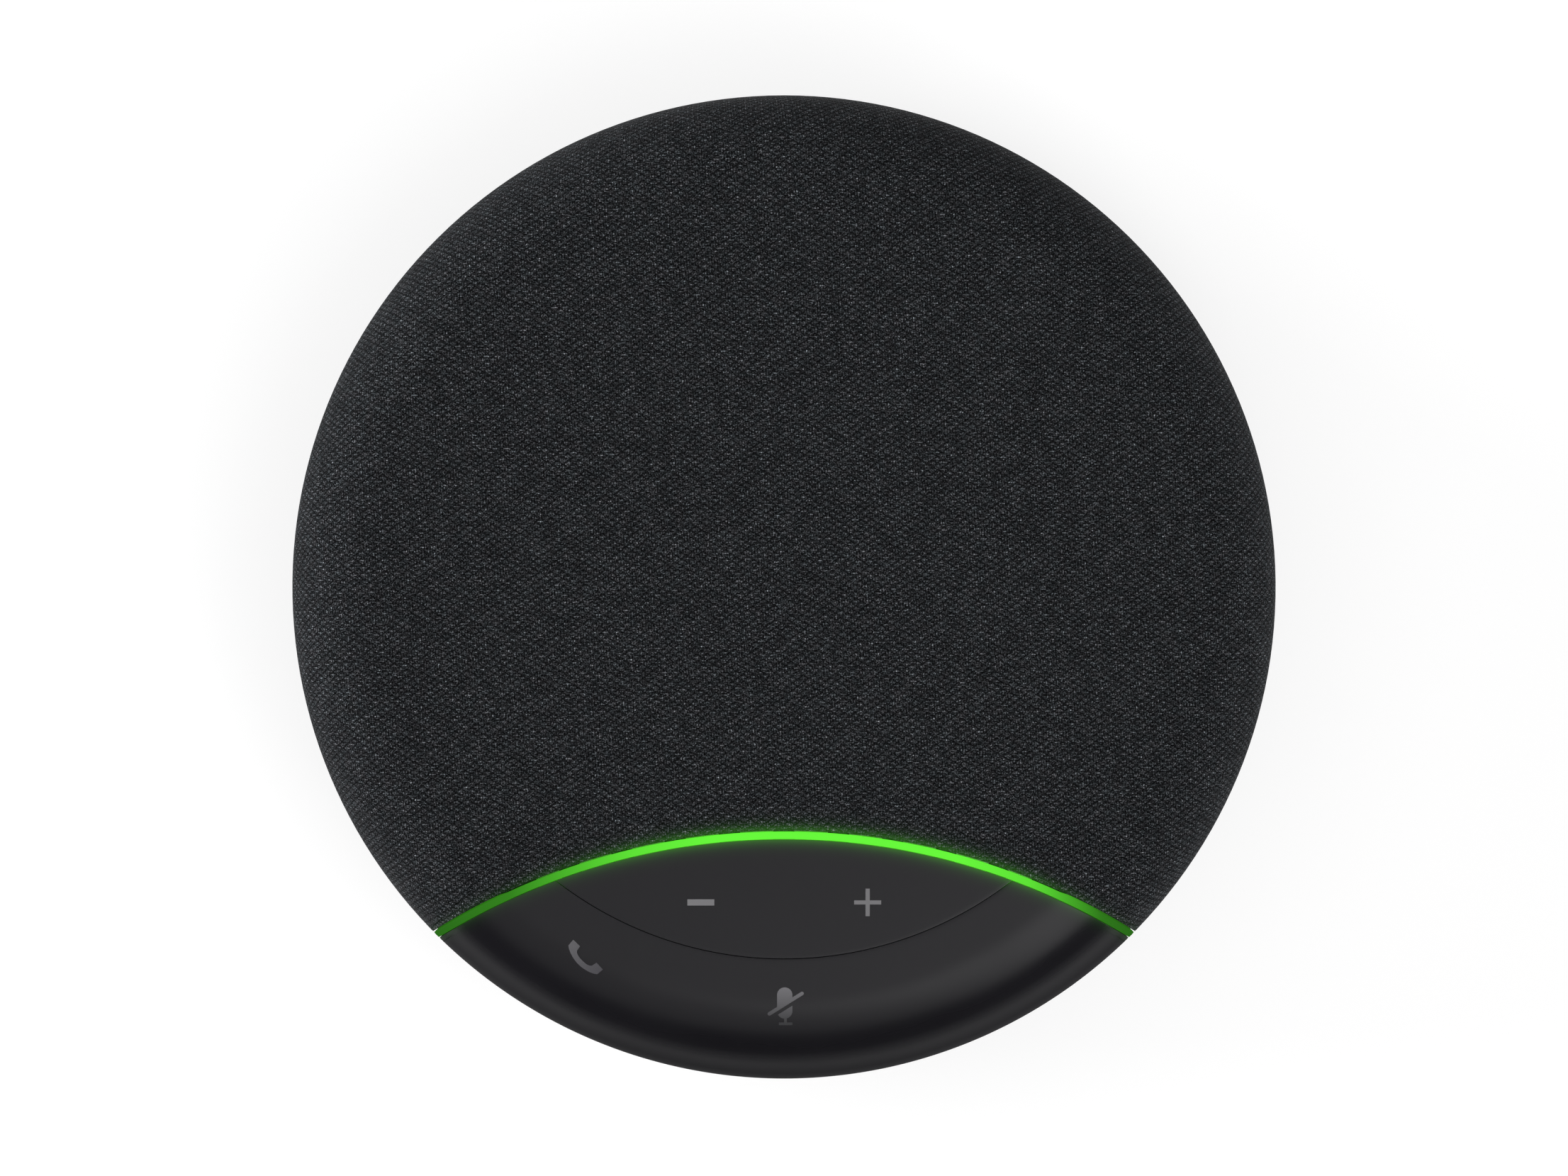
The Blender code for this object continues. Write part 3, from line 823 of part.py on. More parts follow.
def build_panel(parts, finishes):
    """Key board, switches, light channel, light guide, volume rocker and front key."""
    low, high = KEY_BOARD_BOTTOM, KEY_BOARD_TOP
    board = prism("key_board", circle(KEY_BOARD_RADIUS, FORM_SEGMENTS), low, high, finishes["board"])
    keep(board, arc_disc("key_board_edge", CLOTH_EDGE + KEY_BOARD_MARGIN, low - MM, high + MM))
    cut(board, prism("ear_slot", box(EAR_WIDTH + 2 * FIT, PIVOT_SPAN + 2 * FIT, (0.0, PIVOT_Y)), low - MM, high + MM, None))
    cut(board, prisms("guide_holes", [circle(LEG_RADIUS + FIT, SMALL_SEGMENTS, on_ring(LEG_CIRCLE, side * KEY_GUIDE_ANGLE))
                                      for side in (1, -1)], low - MM, high + MM))
    span = math.asin((CHANNEL_REACH - 2 * LED_LENGTH) / LIGHT_ARC_RADIUS)
    spots = []
    for angle in steps(-span, span, LED_COUNT - 1):
        middle = Vector((LIGHT_ARC_RADIUS * math.sin(angle), ARC_CENTRE + LIGHT_ARC_RADIUS * math.cos(angle)))
        along = Vector((math.cos(angle), -math.sin(angle)))
        across = Vector((math.sin(angle), math.cos(angle)))
        spots.append((middle, along, across))

    def chips(grow):
        return [[tuple(m + a * (sa * (LED_LENGTH / 2 + grow)) + c * (sc * (LED_DEPTH / 2 + grow)))
                 for sa, sc in ((1, 1), (-1, 1), (-1, -1), (1, -1))] for m, a, c in spots]

    join(board, prisms("leds", chips(0.0), high - KEY_BOARD_THICKNESS / 2, high + LED_HEIGHT))
    parts.append(board)
    for name, spot, turn in switch_places():
        parts.append(stepped_block(name, box(SWITCH_SIDE, SWITCH_SIDE), high + FIT, high + FIT + SWITCH_BODY,
                                   (SWITCH_SIDE - SWITCH_PLUNGER) / 2, SWITCH_TOP, finishes["switch"], spot + (0.0,), turn))
    side = CLOTH_EDGE + CHANNEL_WALL
    channel = prism("light_channel", arc_band(side, -side, CHANNEL_REACH, 12), CHANNEL_BOTTOM, CHANNEL_TOP, finishes["white"])
    cut(channel, prism("channel_slot", arc_band(CLOTH_EDGE, -CLOTH_EDGE, CHANNEL_REACH + 5 * MM, 14), CHANNEL_BASE,
                       CHANNEL_TOP + MM, None))
    cut(channel, prisms("led_windows", chips(FIT), CHANNEL_BOTTOM - MM, CHANNEL_BASE + MM))
    parts.append(channel)

    guide = skin_shell("light_guide", -LIGHT_PROUD, LIGHT_DEPTH, SKIRT_BOTTOM, finishes["light"], BODY_SEGMENTS)
    keep(guide, arc_disc("guide_outer", LIGHT_WIDTH / 2, 0.0, BODY_HEIGHT + 5 * MM))
    cut(guide, arc_disc("guide_inner", -LIGHT_WIDTH / 2, -MM, BODY_HEIGHT + 6 * MM))
    parts.append(guide)

    panel_edge = arc_disc("panel_edge", PANEL_EDGE, 0.0, BODY_HEIGHT + 5 * MM)
    rocker = skin_shell("volume_rocker", 0.0, KEY_WALL, SKIRT_BOTTOM, finishes["panel"], BODY_SEGMENTS)
    keep(rocker, panel_edge)
    keep(rocker, prism("rocker_edge", circle(ROCKER_OUTER, SEAM_SEGMENTS), 0.0, BODY_HEIGHT + 5 * MM, None))
    rib_low = KEY_BOARD_TOP + FIT
    root = ROCKER_UNDERSIDE + KEY_WALL / 4
    join(rocker, prism("rocker_rib", box(EAR_WIDTH, RIB_LENGTH, (0.0, PIVOT_Y)), rib_low, root, None))
    cut(rocker, prism("rib_bore", circle(PIN_RADIUS + PIN_PLAY, SMALL_SEGMENTS, (0.0, PIVOT_Z)), PIVOT_Y - PIVOT_SPAN,
                      PIVOT_Y + PIVOT_SPAN, None, 'Y'))
    join(rocker, prisms("rocker_legs", [circle(LEG_RADIUS, SMALL_SEGMENTS, spot) for _, spot, _ in switch_places()[:2]],
                        LEG_BOTTOM, root))
    set_origin(rocker, (0.0, PIVOT_Y, PIVOT_Z))
    parts.append(rocker)

    front = skin_shell("front_key", 0.0, KEY_WALL, SKIRT_BOTTOM, finishes["panel"], BODY_SEGMENTS)
    keep(front, panel_edge)
    cut(front, prism("front_key_edge", circle(KEY_INNER, SEAM_SEGMENTS), 0.0, BODY_HEIGHT + 5 * MM, None))
    root = skin_height(LEG_CIRCLE, KEY_WALL) + KEY_WALL * 0.4
    join(front, prisms("front_key_legs", [circle(LEG_RADIUS, SMALL_SEGMENTS, spot) for _, spot, _ in switch_places()[2:]],
                       LEG_BOTTOM, root))
    join(front, prisms("front_key_guides", [circle(LEG_RADIUS, SMALL_SEGMENTS, on_ring(LEG_CIRCLE, side * KEY_GUIDE_ANGLE))
                                            for side in (1, -1)], FRAME_BOTTOM + KEY_TRAVEL + FIT, root))
    parts.append(front)


def mic_angles():
    """Angles of the three microphones round the body, from +X."""
    return [math.radians(angle) for angle in (90.0, 210.0, 330.0)]


def build_microphones(parts, finishes):
    """Three microphone boards on the frame, each with a rubber boot up to the grille."""
    low = FRAME_TOP + FIT
    can_low = low + MIC_BOARD_THICKNESS
    can_top = can_low + MIC_CAN_HEIGHT
    for index, angle in enumerate(mic_angles(), 1):
        centre = (MIC_CIRCLE * math.cos(angle), MIC_CIRCLE * math.sin(angle), 0.0)
        parts.append(stepped_block("mic_board_%d" % index, box(MIC_BOARD_WIDTH, MIC_BOARD_DEPTH), low, can_low, 1.2 * MM,
                                   can_top, finishes["board"], centre, angle - math.pi / 2))
        boot_low = can_top + FIT
        boot_top = skin_height(MIC_CIRCLE + MIC_BOOT_RADIUS, GRILLE_INSET) - FIT
        boot = [(MIC_BORE_RADIUS, boot_top), (MIC_BORE_RADIUS, boot_low), (MIC_BOOT_RADIUS, boot_low),
                (MIC_BOOT_RADIUS, boot_top)]
        parts.append(turned("mic_boot_%d" % index, boot, finishes["rubber"], SMALL_SEGMENTS, centre))


def build_top(parts, finishes):
    """Slotted grille and the woven cover stretched over it."""
    grille = skin_shell("grille", GRILLE_OUTSET, GRILLE_INSET, SPLIT_HEIGHT + FIT, finishes["frame"], FORM_SEGMENTS,
                        GRILLE_STEPS, GRILLE_STEPS, GRILLE_FLAT)
    edge = arc_disc("cloth_edge", CLOTH_EDGE, 0.0, BODY_HEIGHT + 5 * MM)
    cut(grille, edge)
    slots = []
    for ring, count in GRILLE_RINGS:
        radius = ring * GRILLE_PITCH
        half = math.pi / count - GRILLE_BRIDGE / (2 * radius)
        for index in range(count):
            middle = 2 * math.pi * index / count
            slots.append(ring_slot(radius, GRILLE_SLOT, middle - half, middle + half, 2, (0.0, SPEAKER_OFFSET)))
    slots.append(circle(GRILLE_PITCH, 12, (0.0, SPEAKER_OFFSET)))
    cut(grille, prisms("grille_slots", slots, FRAME_TOP, BODY_HEIGHT + MM))
    ports = [circle(MIC_BORE_RADIUS, 8, (MIC_CIRCLE * math.cos(t), MIC_CIRCLE * math.sin(t))) for t in mic_angles()]
    cut(grille, prisms("mic_ports", ports, FRAME_TOP, BODY_HEIGHT + MM))
    parts.append(grille)
    cover = skin_shell("fabric_cover", 0.0, FABRIC_THICKNESS, SKIRT_BOTTOM, finishes["fabric"], BODY_SEGMENTS,
                       under=GRILLE_STEPS)
    cut(cover, edge)
    parts.append(cover)


def main():
    """Clear the file and build every piece under one root."""
    for item in list(bpy.data.objects):
        bpy.data.objects.remove(item, do_unlink=True)
    finishes = {
        "fabric": finish("woven_cloth", display(39, 40, 42), 0.95),
        "panel": finish("panel_plastic", display(48, 47, 50), 0.45),
        "case": finish("case_plastic", display(34, 34, 36), 0.55),
        "key": finish("side_key_plastic", display(44, 44, 46), 0.5),
        "frame": finish("frame_plastic", display(30, 30, 31), 0.6),
        "light": finish("light_guide_plastic", display(105, 245, 63), 0.35),
        "white": finish("channel_plastic", display(225, 225, 222), 0.5),
        "rubber": finish("soft_rubber", display(28, 28, 29), 0.85),
        "foam": finish("gasket_foam", display(40, 40, 40), 0.95),
        "board": finish("circuit_board", display(24, 74, 44), 0.5),
        "switch": finish("switch_plastic", display(60, 60, 62), 0.5),
        "cell": finish("battery_wrap", display(150, 152, 156), 0.4),
        "tin": finish("tinned_shell", display(190, 190, 188), 0.3, 1.0),
        "steel": finish("zinc_steel", display(170, 170, 172), 0.35, 1.0),
        "steel_dark": finish("black_steel", display(36, 36, 38), 0.5, 0.6),
        "magnet": finish("sintered_magnet", display(110, 112, 116), 0.35, 1.0),
        "copper": finish("copper_winding", display(176, 106, 62), 0.4, 0.8),
        "lead": finish("lead_sheath", display(150, 30, 28), 0.5),
        "ribbon": finish("flat_ribbon", display(205, 205, 200), 0.45),
        "spider": finish("resin_cloth", display(190, 160, 96), 0.9),
        "paper": finish("cone_paper", display(32, 31, 31), 0.85),
    }
    parts = []
    build_bottom(parts, finishes)
    build_electronics(parts, finishes)
    build_side_keys(parts, finishes)
    build_leads(parts, finishes)
    build_frame(parts, finishes)
    build_speaker(parts, finishes)
    build_panel(parts, finishes)
    build_microphones(parts, finishes)
    build_top(parts, finishes)
    root = bpy.data.objects.new("speakerphone", None)
    bpy.context.scene.collection.objects.link(root)
    for made in parts:
        made.parent = root


main()
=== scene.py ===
"""Looks of a round desktop conference speakerphone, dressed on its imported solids.

The body's axis stands on the origin, the keys lie toward -Y and lengths are in metres.
"""

import json
import logging
import math
from dataclasses import dataclass
from enum import Enum
from typing import Callable, Iterable, Sequence, Union

import bmesh
import bpy
from mathutils import Matrix, Vector


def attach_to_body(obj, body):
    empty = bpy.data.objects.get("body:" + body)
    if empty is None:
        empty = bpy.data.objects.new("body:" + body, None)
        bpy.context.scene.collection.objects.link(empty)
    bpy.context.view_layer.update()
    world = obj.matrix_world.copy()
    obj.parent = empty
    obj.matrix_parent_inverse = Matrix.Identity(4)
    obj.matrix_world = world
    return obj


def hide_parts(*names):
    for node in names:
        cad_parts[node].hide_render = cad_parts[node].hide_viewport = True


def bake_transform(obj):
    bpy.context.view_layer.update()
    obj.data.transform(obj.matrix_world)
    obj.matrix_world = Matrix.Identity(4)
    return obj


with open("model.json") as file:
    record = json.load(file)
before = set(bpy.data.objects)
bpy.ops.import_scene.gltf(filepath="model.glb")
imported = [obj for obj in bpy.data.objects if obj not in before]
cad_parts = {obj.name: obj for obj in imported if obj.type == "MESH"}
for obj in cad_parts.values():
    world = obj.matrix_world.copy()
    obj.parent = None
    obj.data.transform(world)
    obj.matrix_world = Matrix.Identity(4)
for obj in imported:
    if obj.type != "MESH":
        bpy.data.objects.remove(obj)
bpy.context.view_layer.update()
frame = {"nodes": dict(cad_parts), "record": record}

MM = 0.001
WELD = 0.000001
ORIGIN = (0.0, 0.0, 0.0)
QUARTER = math.pi / 2
ROUND_STEPS = 160
POST_SEGMENTS = 24
CUT_SHARP = 30.0
# The part of a cloudy value that a finish varies over
CLOUD = (0.3, 0.7)
LOG = logging.getLogger("speakerphone")

BMesh = bmesh.types.BMesh
BMEdge = bmesh.types.BMEdge
BMFace = bmesh.types.BMFace
BMVert = bmesh.types.BMVert
Material = bpy.types.Material
Node = bpy.types.Node
Piece = bpy.types.Object
Socket = bpy.types.NodeSocket
Feed = Union[Socket, float, Sequence[float]]
Colour = tuple[float, float, float, float]
Pair = tuple[float, float]
Plan = tuple[float, float]
Place = tuple[float, float, float]


def display(red: float, green: float, blue: float) -> Colour:
    """Linear colour of 8-bit display levels.

    Args:
        red: Red level, 0 to 255.
        green: Green level, 0 to 255.
        blue: Blue level, 0 to 255.

    Returns:
        The linear colour with full alpha.
    """
    levels = [level / 255 for level in (red, green, blue)]
    linear = [v / 12.92 if v <= 0.04045 else ((v + 0.055) / 1.055) ** 2.4 for v in levels]
    return (linear[0], linear[1], linear[2], 1.0)


def grey(value: float) -> Colour:
    """Linear grey of one value."""
    return (value, value, value, 1.0)


def shaded(colour: Colour, gain: float, lift: float = 0.0) -> Colour:
    """A colour with its channels multiplied by gain and raised by lift."""
    red, green, blue = (min(1.0, v * gain + lift) for v in colour[:3])
    return (red, green, blue, 1.0)


def spread(start: float, end: float, count: int) -> list[float]:
    """Even values from start to end in count steps, both ends included."""
    return [start + (end - start) * index / count for index in range(count + 1)]


def bend(centre: Plan, radii: Pair, start: float, end: float, count: int) -> list[Plan]:
    """Points along a part of an ellipse.

    Args:
        centre: Its centre.
        radii: Its two half sizes, a negative one to run the other way.
        start: First angle.
        end: Last angle.
        count: Steps between them.

    Returns:
        The points, both ends included.
    """
    return [(centre[0] + radii[0] * math.cos(t), centre[1] + radii[1] * math.sin(t))
            for t in spread(start, end, count)]


GREEN = (0.130, 0.91, 0.040, 1.0)
# Green of the light guide's glow, painted onto its neighbours as emission
PAINTED_GLOW_GREEN = (0.16, 1.0, 0.03, 1.0)
DARK = grey(0.0)
WHITE = grey(1.0)


# The form that the top pieces share


@dataclass(frozen=True)
class Skin:
    """The crowned top with its round shoulder and short upright wall."""

    radius: float = 60.0 * MM
    height: float = 38.0 * MM
    crown: float = 1500.0 * MM
    shoulder: float = 10.0 * MM
    bottom: float = 16.8 * MM

    @property
    def axis(self) -> float:
        """Radius of the circle that the shoulder's centre runs on."""
        return self.radius - self.shoulder

    @property
    def turn(self) -> float:
        """Lean of the skin where the crown passes into the shoulder."""
        return math.asin(self.axis / (self.crown - self.shoulder))

    @property
    def centre(self) -> float:
        """Height of the shoulder's centre."""
        return self.height - self.crown + (self.crown - self.shoulder) * math.cos(self.turn)

    @property
    def crown_length(self) -> float:
        """Distance along the skin from the axis to the shoulder."""
        return self.crown * self.turn

    @property
    def wall_start(self) -> float:
        """Distance along the skin from the axis to the upright wall."""
        return self.crown_length + self.shoulder * (QUARTER - self.turn)

    @property
    def length(self) -> float:
        """Distance along the skin from the axis to the bottom of the wall."""
        return self.wall_start + self.centre - self.bottom

    def reach(self, radius: float) -> float:
        """Distance along the skin to a plan radius.

        Args:
            radius: Distance from the body axis in plan.

        Returns:
            The distance from the axis, over the crown and the shoulder.
        """
        if radius <= self.crown * math.sin(self.turn):
            return self.crown * math.asin(radius / self.crown)
        lean = math.asin(min(1.0, (radius - self.axis) / self.shoulder))
        return self.crown_length + self.shoulder * (lean - self.turn)

    def spot(self, turn: float, along: float, depth: float = 0.0) -> Vector:
        """Point on the skin.

        Args:
            turn: Direction from the body axis, from the front toward +X.
            along: Distance from the axis along the skin.
            depth: How far the point is sunk along the normal.

        Returns:
            The point.
        """
        if along <= self.crown_length:
            lean = along / self.crown
            radius = self.crown * math.sin(lean)
            level = self.height - self.crown + self.crown * math.cos(lean)
        elif along <= self.wall_start:
            lean = self.turn + (along - self.crown_length) / self.shoulder
            radius = self.axis + self.shoulder * math.sin(lean)
            level = self.centre + self.shoulder * math.cos(lean)
        else:
            lean = QUARTER
            radius = self.radius
            level = self.centre - (along - self.wall_start)
        radius -= depth * math.sin(lean)
        level -= depth * math.cos(lean)
        return Vector((radius * math.sin(turn), -radius * math.cos(turn), level))

    def over(self, x: float, y: float, depth: float = 0.0) -> Vector:
        """Point of the skin over a plan point, sunk by depth."""
        return self.spot(math.atan2(x, -y), self.reach(math.hypot(x, y)), depth)


@dataclass(frozen=True)
class LightArc:
    """The arc in plan along which the light divides cloth and keys.

    The levels are shares of the way from -X to +X with the brightness there.
    """

    radius: float = 80.0 * MM
    back: float = 110.25 * MM
    half_width: float = 0.43 * MM
    lit: float = 44.0 * MM
    levels: tuple[Pair, ...] = ((0.02, 0.13), (0.12, 0.22), (0.20, 0.48), (0.29, 0.80), (0.40, 1.0),
                                (0.74, 1.0), (0.84, 0.80), (0.895, 0.42), (0.94, 0.18), (0.98, 0.13))

    def plan_radius(self, turn: float, offset: float) -> float:
        """Distance from the body axis at which a direction meets the arc.

        Args:
            turn: Direction from the front toward +X.
            offset: How far the arc is moved toward the cloth.

        Returns:
            The distance in plan.
        """
        edge = self.radius + offset
        inside = edge ** 2 - (self.back * math.sin(turn)) ** 2
        return self.back * math.cos(turn) - math.sqrt(max(0.0, inside))

    def meets(self, radius: float, offset: float) -> float:
        """Direction in which the arc, moved by offset, meets a circle about the body axis."""
        edge = self.radius + offset
        return math.acos((radius ** 2 + self.back ** 2 - edge ** 2) / (2 * radius * self.back))

    def swing(self, radius: float, offset: float) -> float:
        """Angle about the arc's own centre at which it meets a circle about the body axis."""
        edge = self.radius + offset
        return math.acos((self.back ** 2 + edge ** 2 - radius ** 2) / (2 * self.back * edge))

    def gap(self, place: Vector) -> float:
        """Distance in plan from the arc's mid line, positive toward the cloth."""
        return math.hypot(place.x, place.y + self.back) - self.radius


SKIN = Skin()
ARC = LightArc()


class Body(str, Enum):
    """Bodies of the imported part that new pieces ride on."""

    BASE = "base"
    ROCKER = "volume_rocker"
    FRONT = "front_key"
    POWER = "power_button"
    PAIRING = "pairing_button"
    CONE = "cone"


# Finishes


class Recipe:
    """The nodes of one finish, laid down and joined one by one."""

    def __init__(self, name: str) -> None:
        """Starts a material with its shader.

        Args:
            name: Name of the material.
        """
        self.material = bpy.data.materials.new(name)
        self.material.use_nodes = True
        self.tree = self.material.node_tree
        self.shader = self.tree.nodes["Principled BSDF"]

    def add(self, kind: str, **settings: object) -> Node:
        """Adds a node.

        Args:
            kind: Its type, without the start that all shader nodes share.
            **settings: Its properties.

        Returns:
            The node.
        """
        node = self.tree.nodes.new("ShaderNode" + kind)
        for name, value in settings.items():
            setattr(node, name, value)
        return node

    def feed(self, target: Socket, value: Feed) -> None:
        """Joins a socket to another one, or sets its value.

        Args:
            target: The socket.
            value: Another node's output or a constant.
        """
        if isinstance(value, Socket):
            self.tree.links.new(value, target)
        else:
            target.default_value = value

    def fill(self, node: Node, *first: Feed, **named: Feed) -> Node:
        """Feeds a node's sockets.

        Args:
            node: The node.
            *first: What its first sockets get, in order.
            **named: What other sockets get, named with underscores for spaces.

        Returns:
            The node.
        """
        for socket, value in zip(node.inputs, first):
            self.feed(socket, value)
        for name, value in named.items():
            self.feed(node.inputs[name.replace("_", " ")], value)
        return node

    def surface(self, **values: Feed) -> None:
        """Feeds the shader's sockets, named with underscores for spaces."""
        self.fill(self.shader, **values)

    def maths(self, operation: str, first: Feed, second: Feed = 0.0) -> Socket:
        """Joins two numbers by one operation."""
        return self.fill(self.add("Math", operation=operation), first, second).outputs[0]

    def vector(self, operation: str, first: Feed, second: Feed = ORIGIN) -> Node:
        """Joins two vectors by one operation."""
        return self.fill(self.add("VectorMath", operation=operation), first, second)

    def dot(self, first: Feed, second: Feed) -> Socket:
        """Product of two vectors as one number."""
        return self.vector('DOT_PRODUCT', first, second).outputs["Value"]

    def mapped(self, place: Socket, shift: Place = ORIGIN, turn: float = 0.0,
               scale: Place = (1.0, 1.0, 1.0)) -> Socket:
        """Scales, turns about Z and shifts a coordinate."""
        node = self.add("Mapping")
        return self.fill(node, Vector=place, Location=shift, Rotation=(0.0, 0.0, turn),
                         Scale=scale).outputs[0]

    def here(self) -> Socket:
        """Coordinate of the shaded point in the piece's own space."""
        return self.add("TexCoord").outputs["Object"]

    def axis(self, place: Socket, index: int) -> Socket:
        """One component of a coordinate."""
        return self.fill(self.add("SeparateXYZ"), place).outputs[index]

    def noise(self, place: Socket, scale: float, detail: float = 2.0, roughness: float = 0.5) -> Socket:
        """Cloudy value from 0 to 1."""
        node = self.add("TexNoise")
        return self.fill(node, Vector=place, Scale=scale, Detail=detail, Roughness=roughness).outputs[0]

    def fit(self, value: Socket, low: float, high: float, start: float = 0.0, end: float = 1.0) -> Socket:
        """Maps a value from low..high to start..end and holds it there."""
        return self.fill(self.add("MapRange"), value, low, high, start, end).outputs[0]

    def worn(self, cloud: Socket, roughness: float, wear: Pair) -> Socket:
        """Roughness that a cloudy value lowers and raises by wear."""
        return self.fit(cloud, *CLOUD, roughness + wear[0], roughness + wear[1])

    def ramp(self, value: Socket, stops: Sequence[tuple[float, Colour]]) -> Socket:
        """Colour along a band.

        Args:
            value: Place on the band, from 0 to 1.
            stops: Places on it and their colours.

        Returns:
            The colour.
        """
        node = self.add("ValToRGB")
        band = node.color_ramp.elements
        while len(band) < len(stops):
            band.new(1.0)
        for element, (place, colour) in zip(band, stops):
            element.position = place
            element.color = colour
        return self.fill(node, value).outputs[0]

    def mix(self, share: Socket, first: Feed, second: Feed) -> Socket:
        """Colour between two.

        Args:
            share: How far it lies toward the second.
            first: Colour at 0.
            second: Colour at 1.

        Returns:
            The colour.
        """
        node = self.add("Mix", data_type='RGBA')
        # The node's colours are its inputs 6 and 7 and its output 2
        for index, value in ((0, share), (6, first), (7, second)):
            self.feed(node.inputs[index], value)
        return node.outputs[2]

    def bump(self, height: Socket, depth: float) -> None:
        """Raises the surface by a value times depth."""
        node = self.fill(self.add("Bump"), Strength=1.0, Distance=depth, Height=height)
        self.surface(Normal=node.outputs[0])

    def light_level(self) -> Socket:
        """Brightness of the light along the arc, which falls off toward both ends."""
        across = self.fit(self.axis(self.here(), 0), -ARC.lit, ARC.lit)
        return self.ramp(across, [(place, grey(level)) for place, level in ARC.levels])

    def paint_spill_glow(self, edge: float, fall: float, strength: float) -> None:
        """Paints the light guide's glow onto a neighbour as emission in the neighbour's own material, a
        painted spill of light that fades away from the arc.

        Args:
            edge: Distance from the arc's mid line at which the spill is full.
            fall: Distance over which it fades.
            strength: How bright it is.
        """
        # Painted light: the guide's green glow, as emission that fades away from the arc
        flat = self.mapped(self.here(), (0.0, ARC.back, 0.0), scale=(1.0, 1.0, 0.0))
        reach = self.vector('LENGTH', flat).outputs["Value"]
        away = self.maths('ABSOLUTE', self.maths('SUBTRACT', reach, ARC.radius))
        share = self.maths('EXPONENT', self.maths('DIVIDE', self.maths('SUBTRACT', edge, away), fall))
        spill = self.maths('MULTIPLY', self.maths('MINIMUM', share, 1.0), self.light_level())
        self.surface(Emission_Color=self.mix(spill, DARK, PAINTED_GLOW_GREEN), Emission_Strength=strength)


class Finish:
    """A finish that dresses a new material with nodes."""

    name: str

    def build(self) -> Material:
        """Makes the material.

        Returns:
            The material.
        """
        recipe = Recipe(self.name)
        self.dress(recipe)
        return recipe.material

    def dress(self, recipe: Recipe) -> None:
        """Lays down the nodes."""
        raise NotImplementedError(self.name)


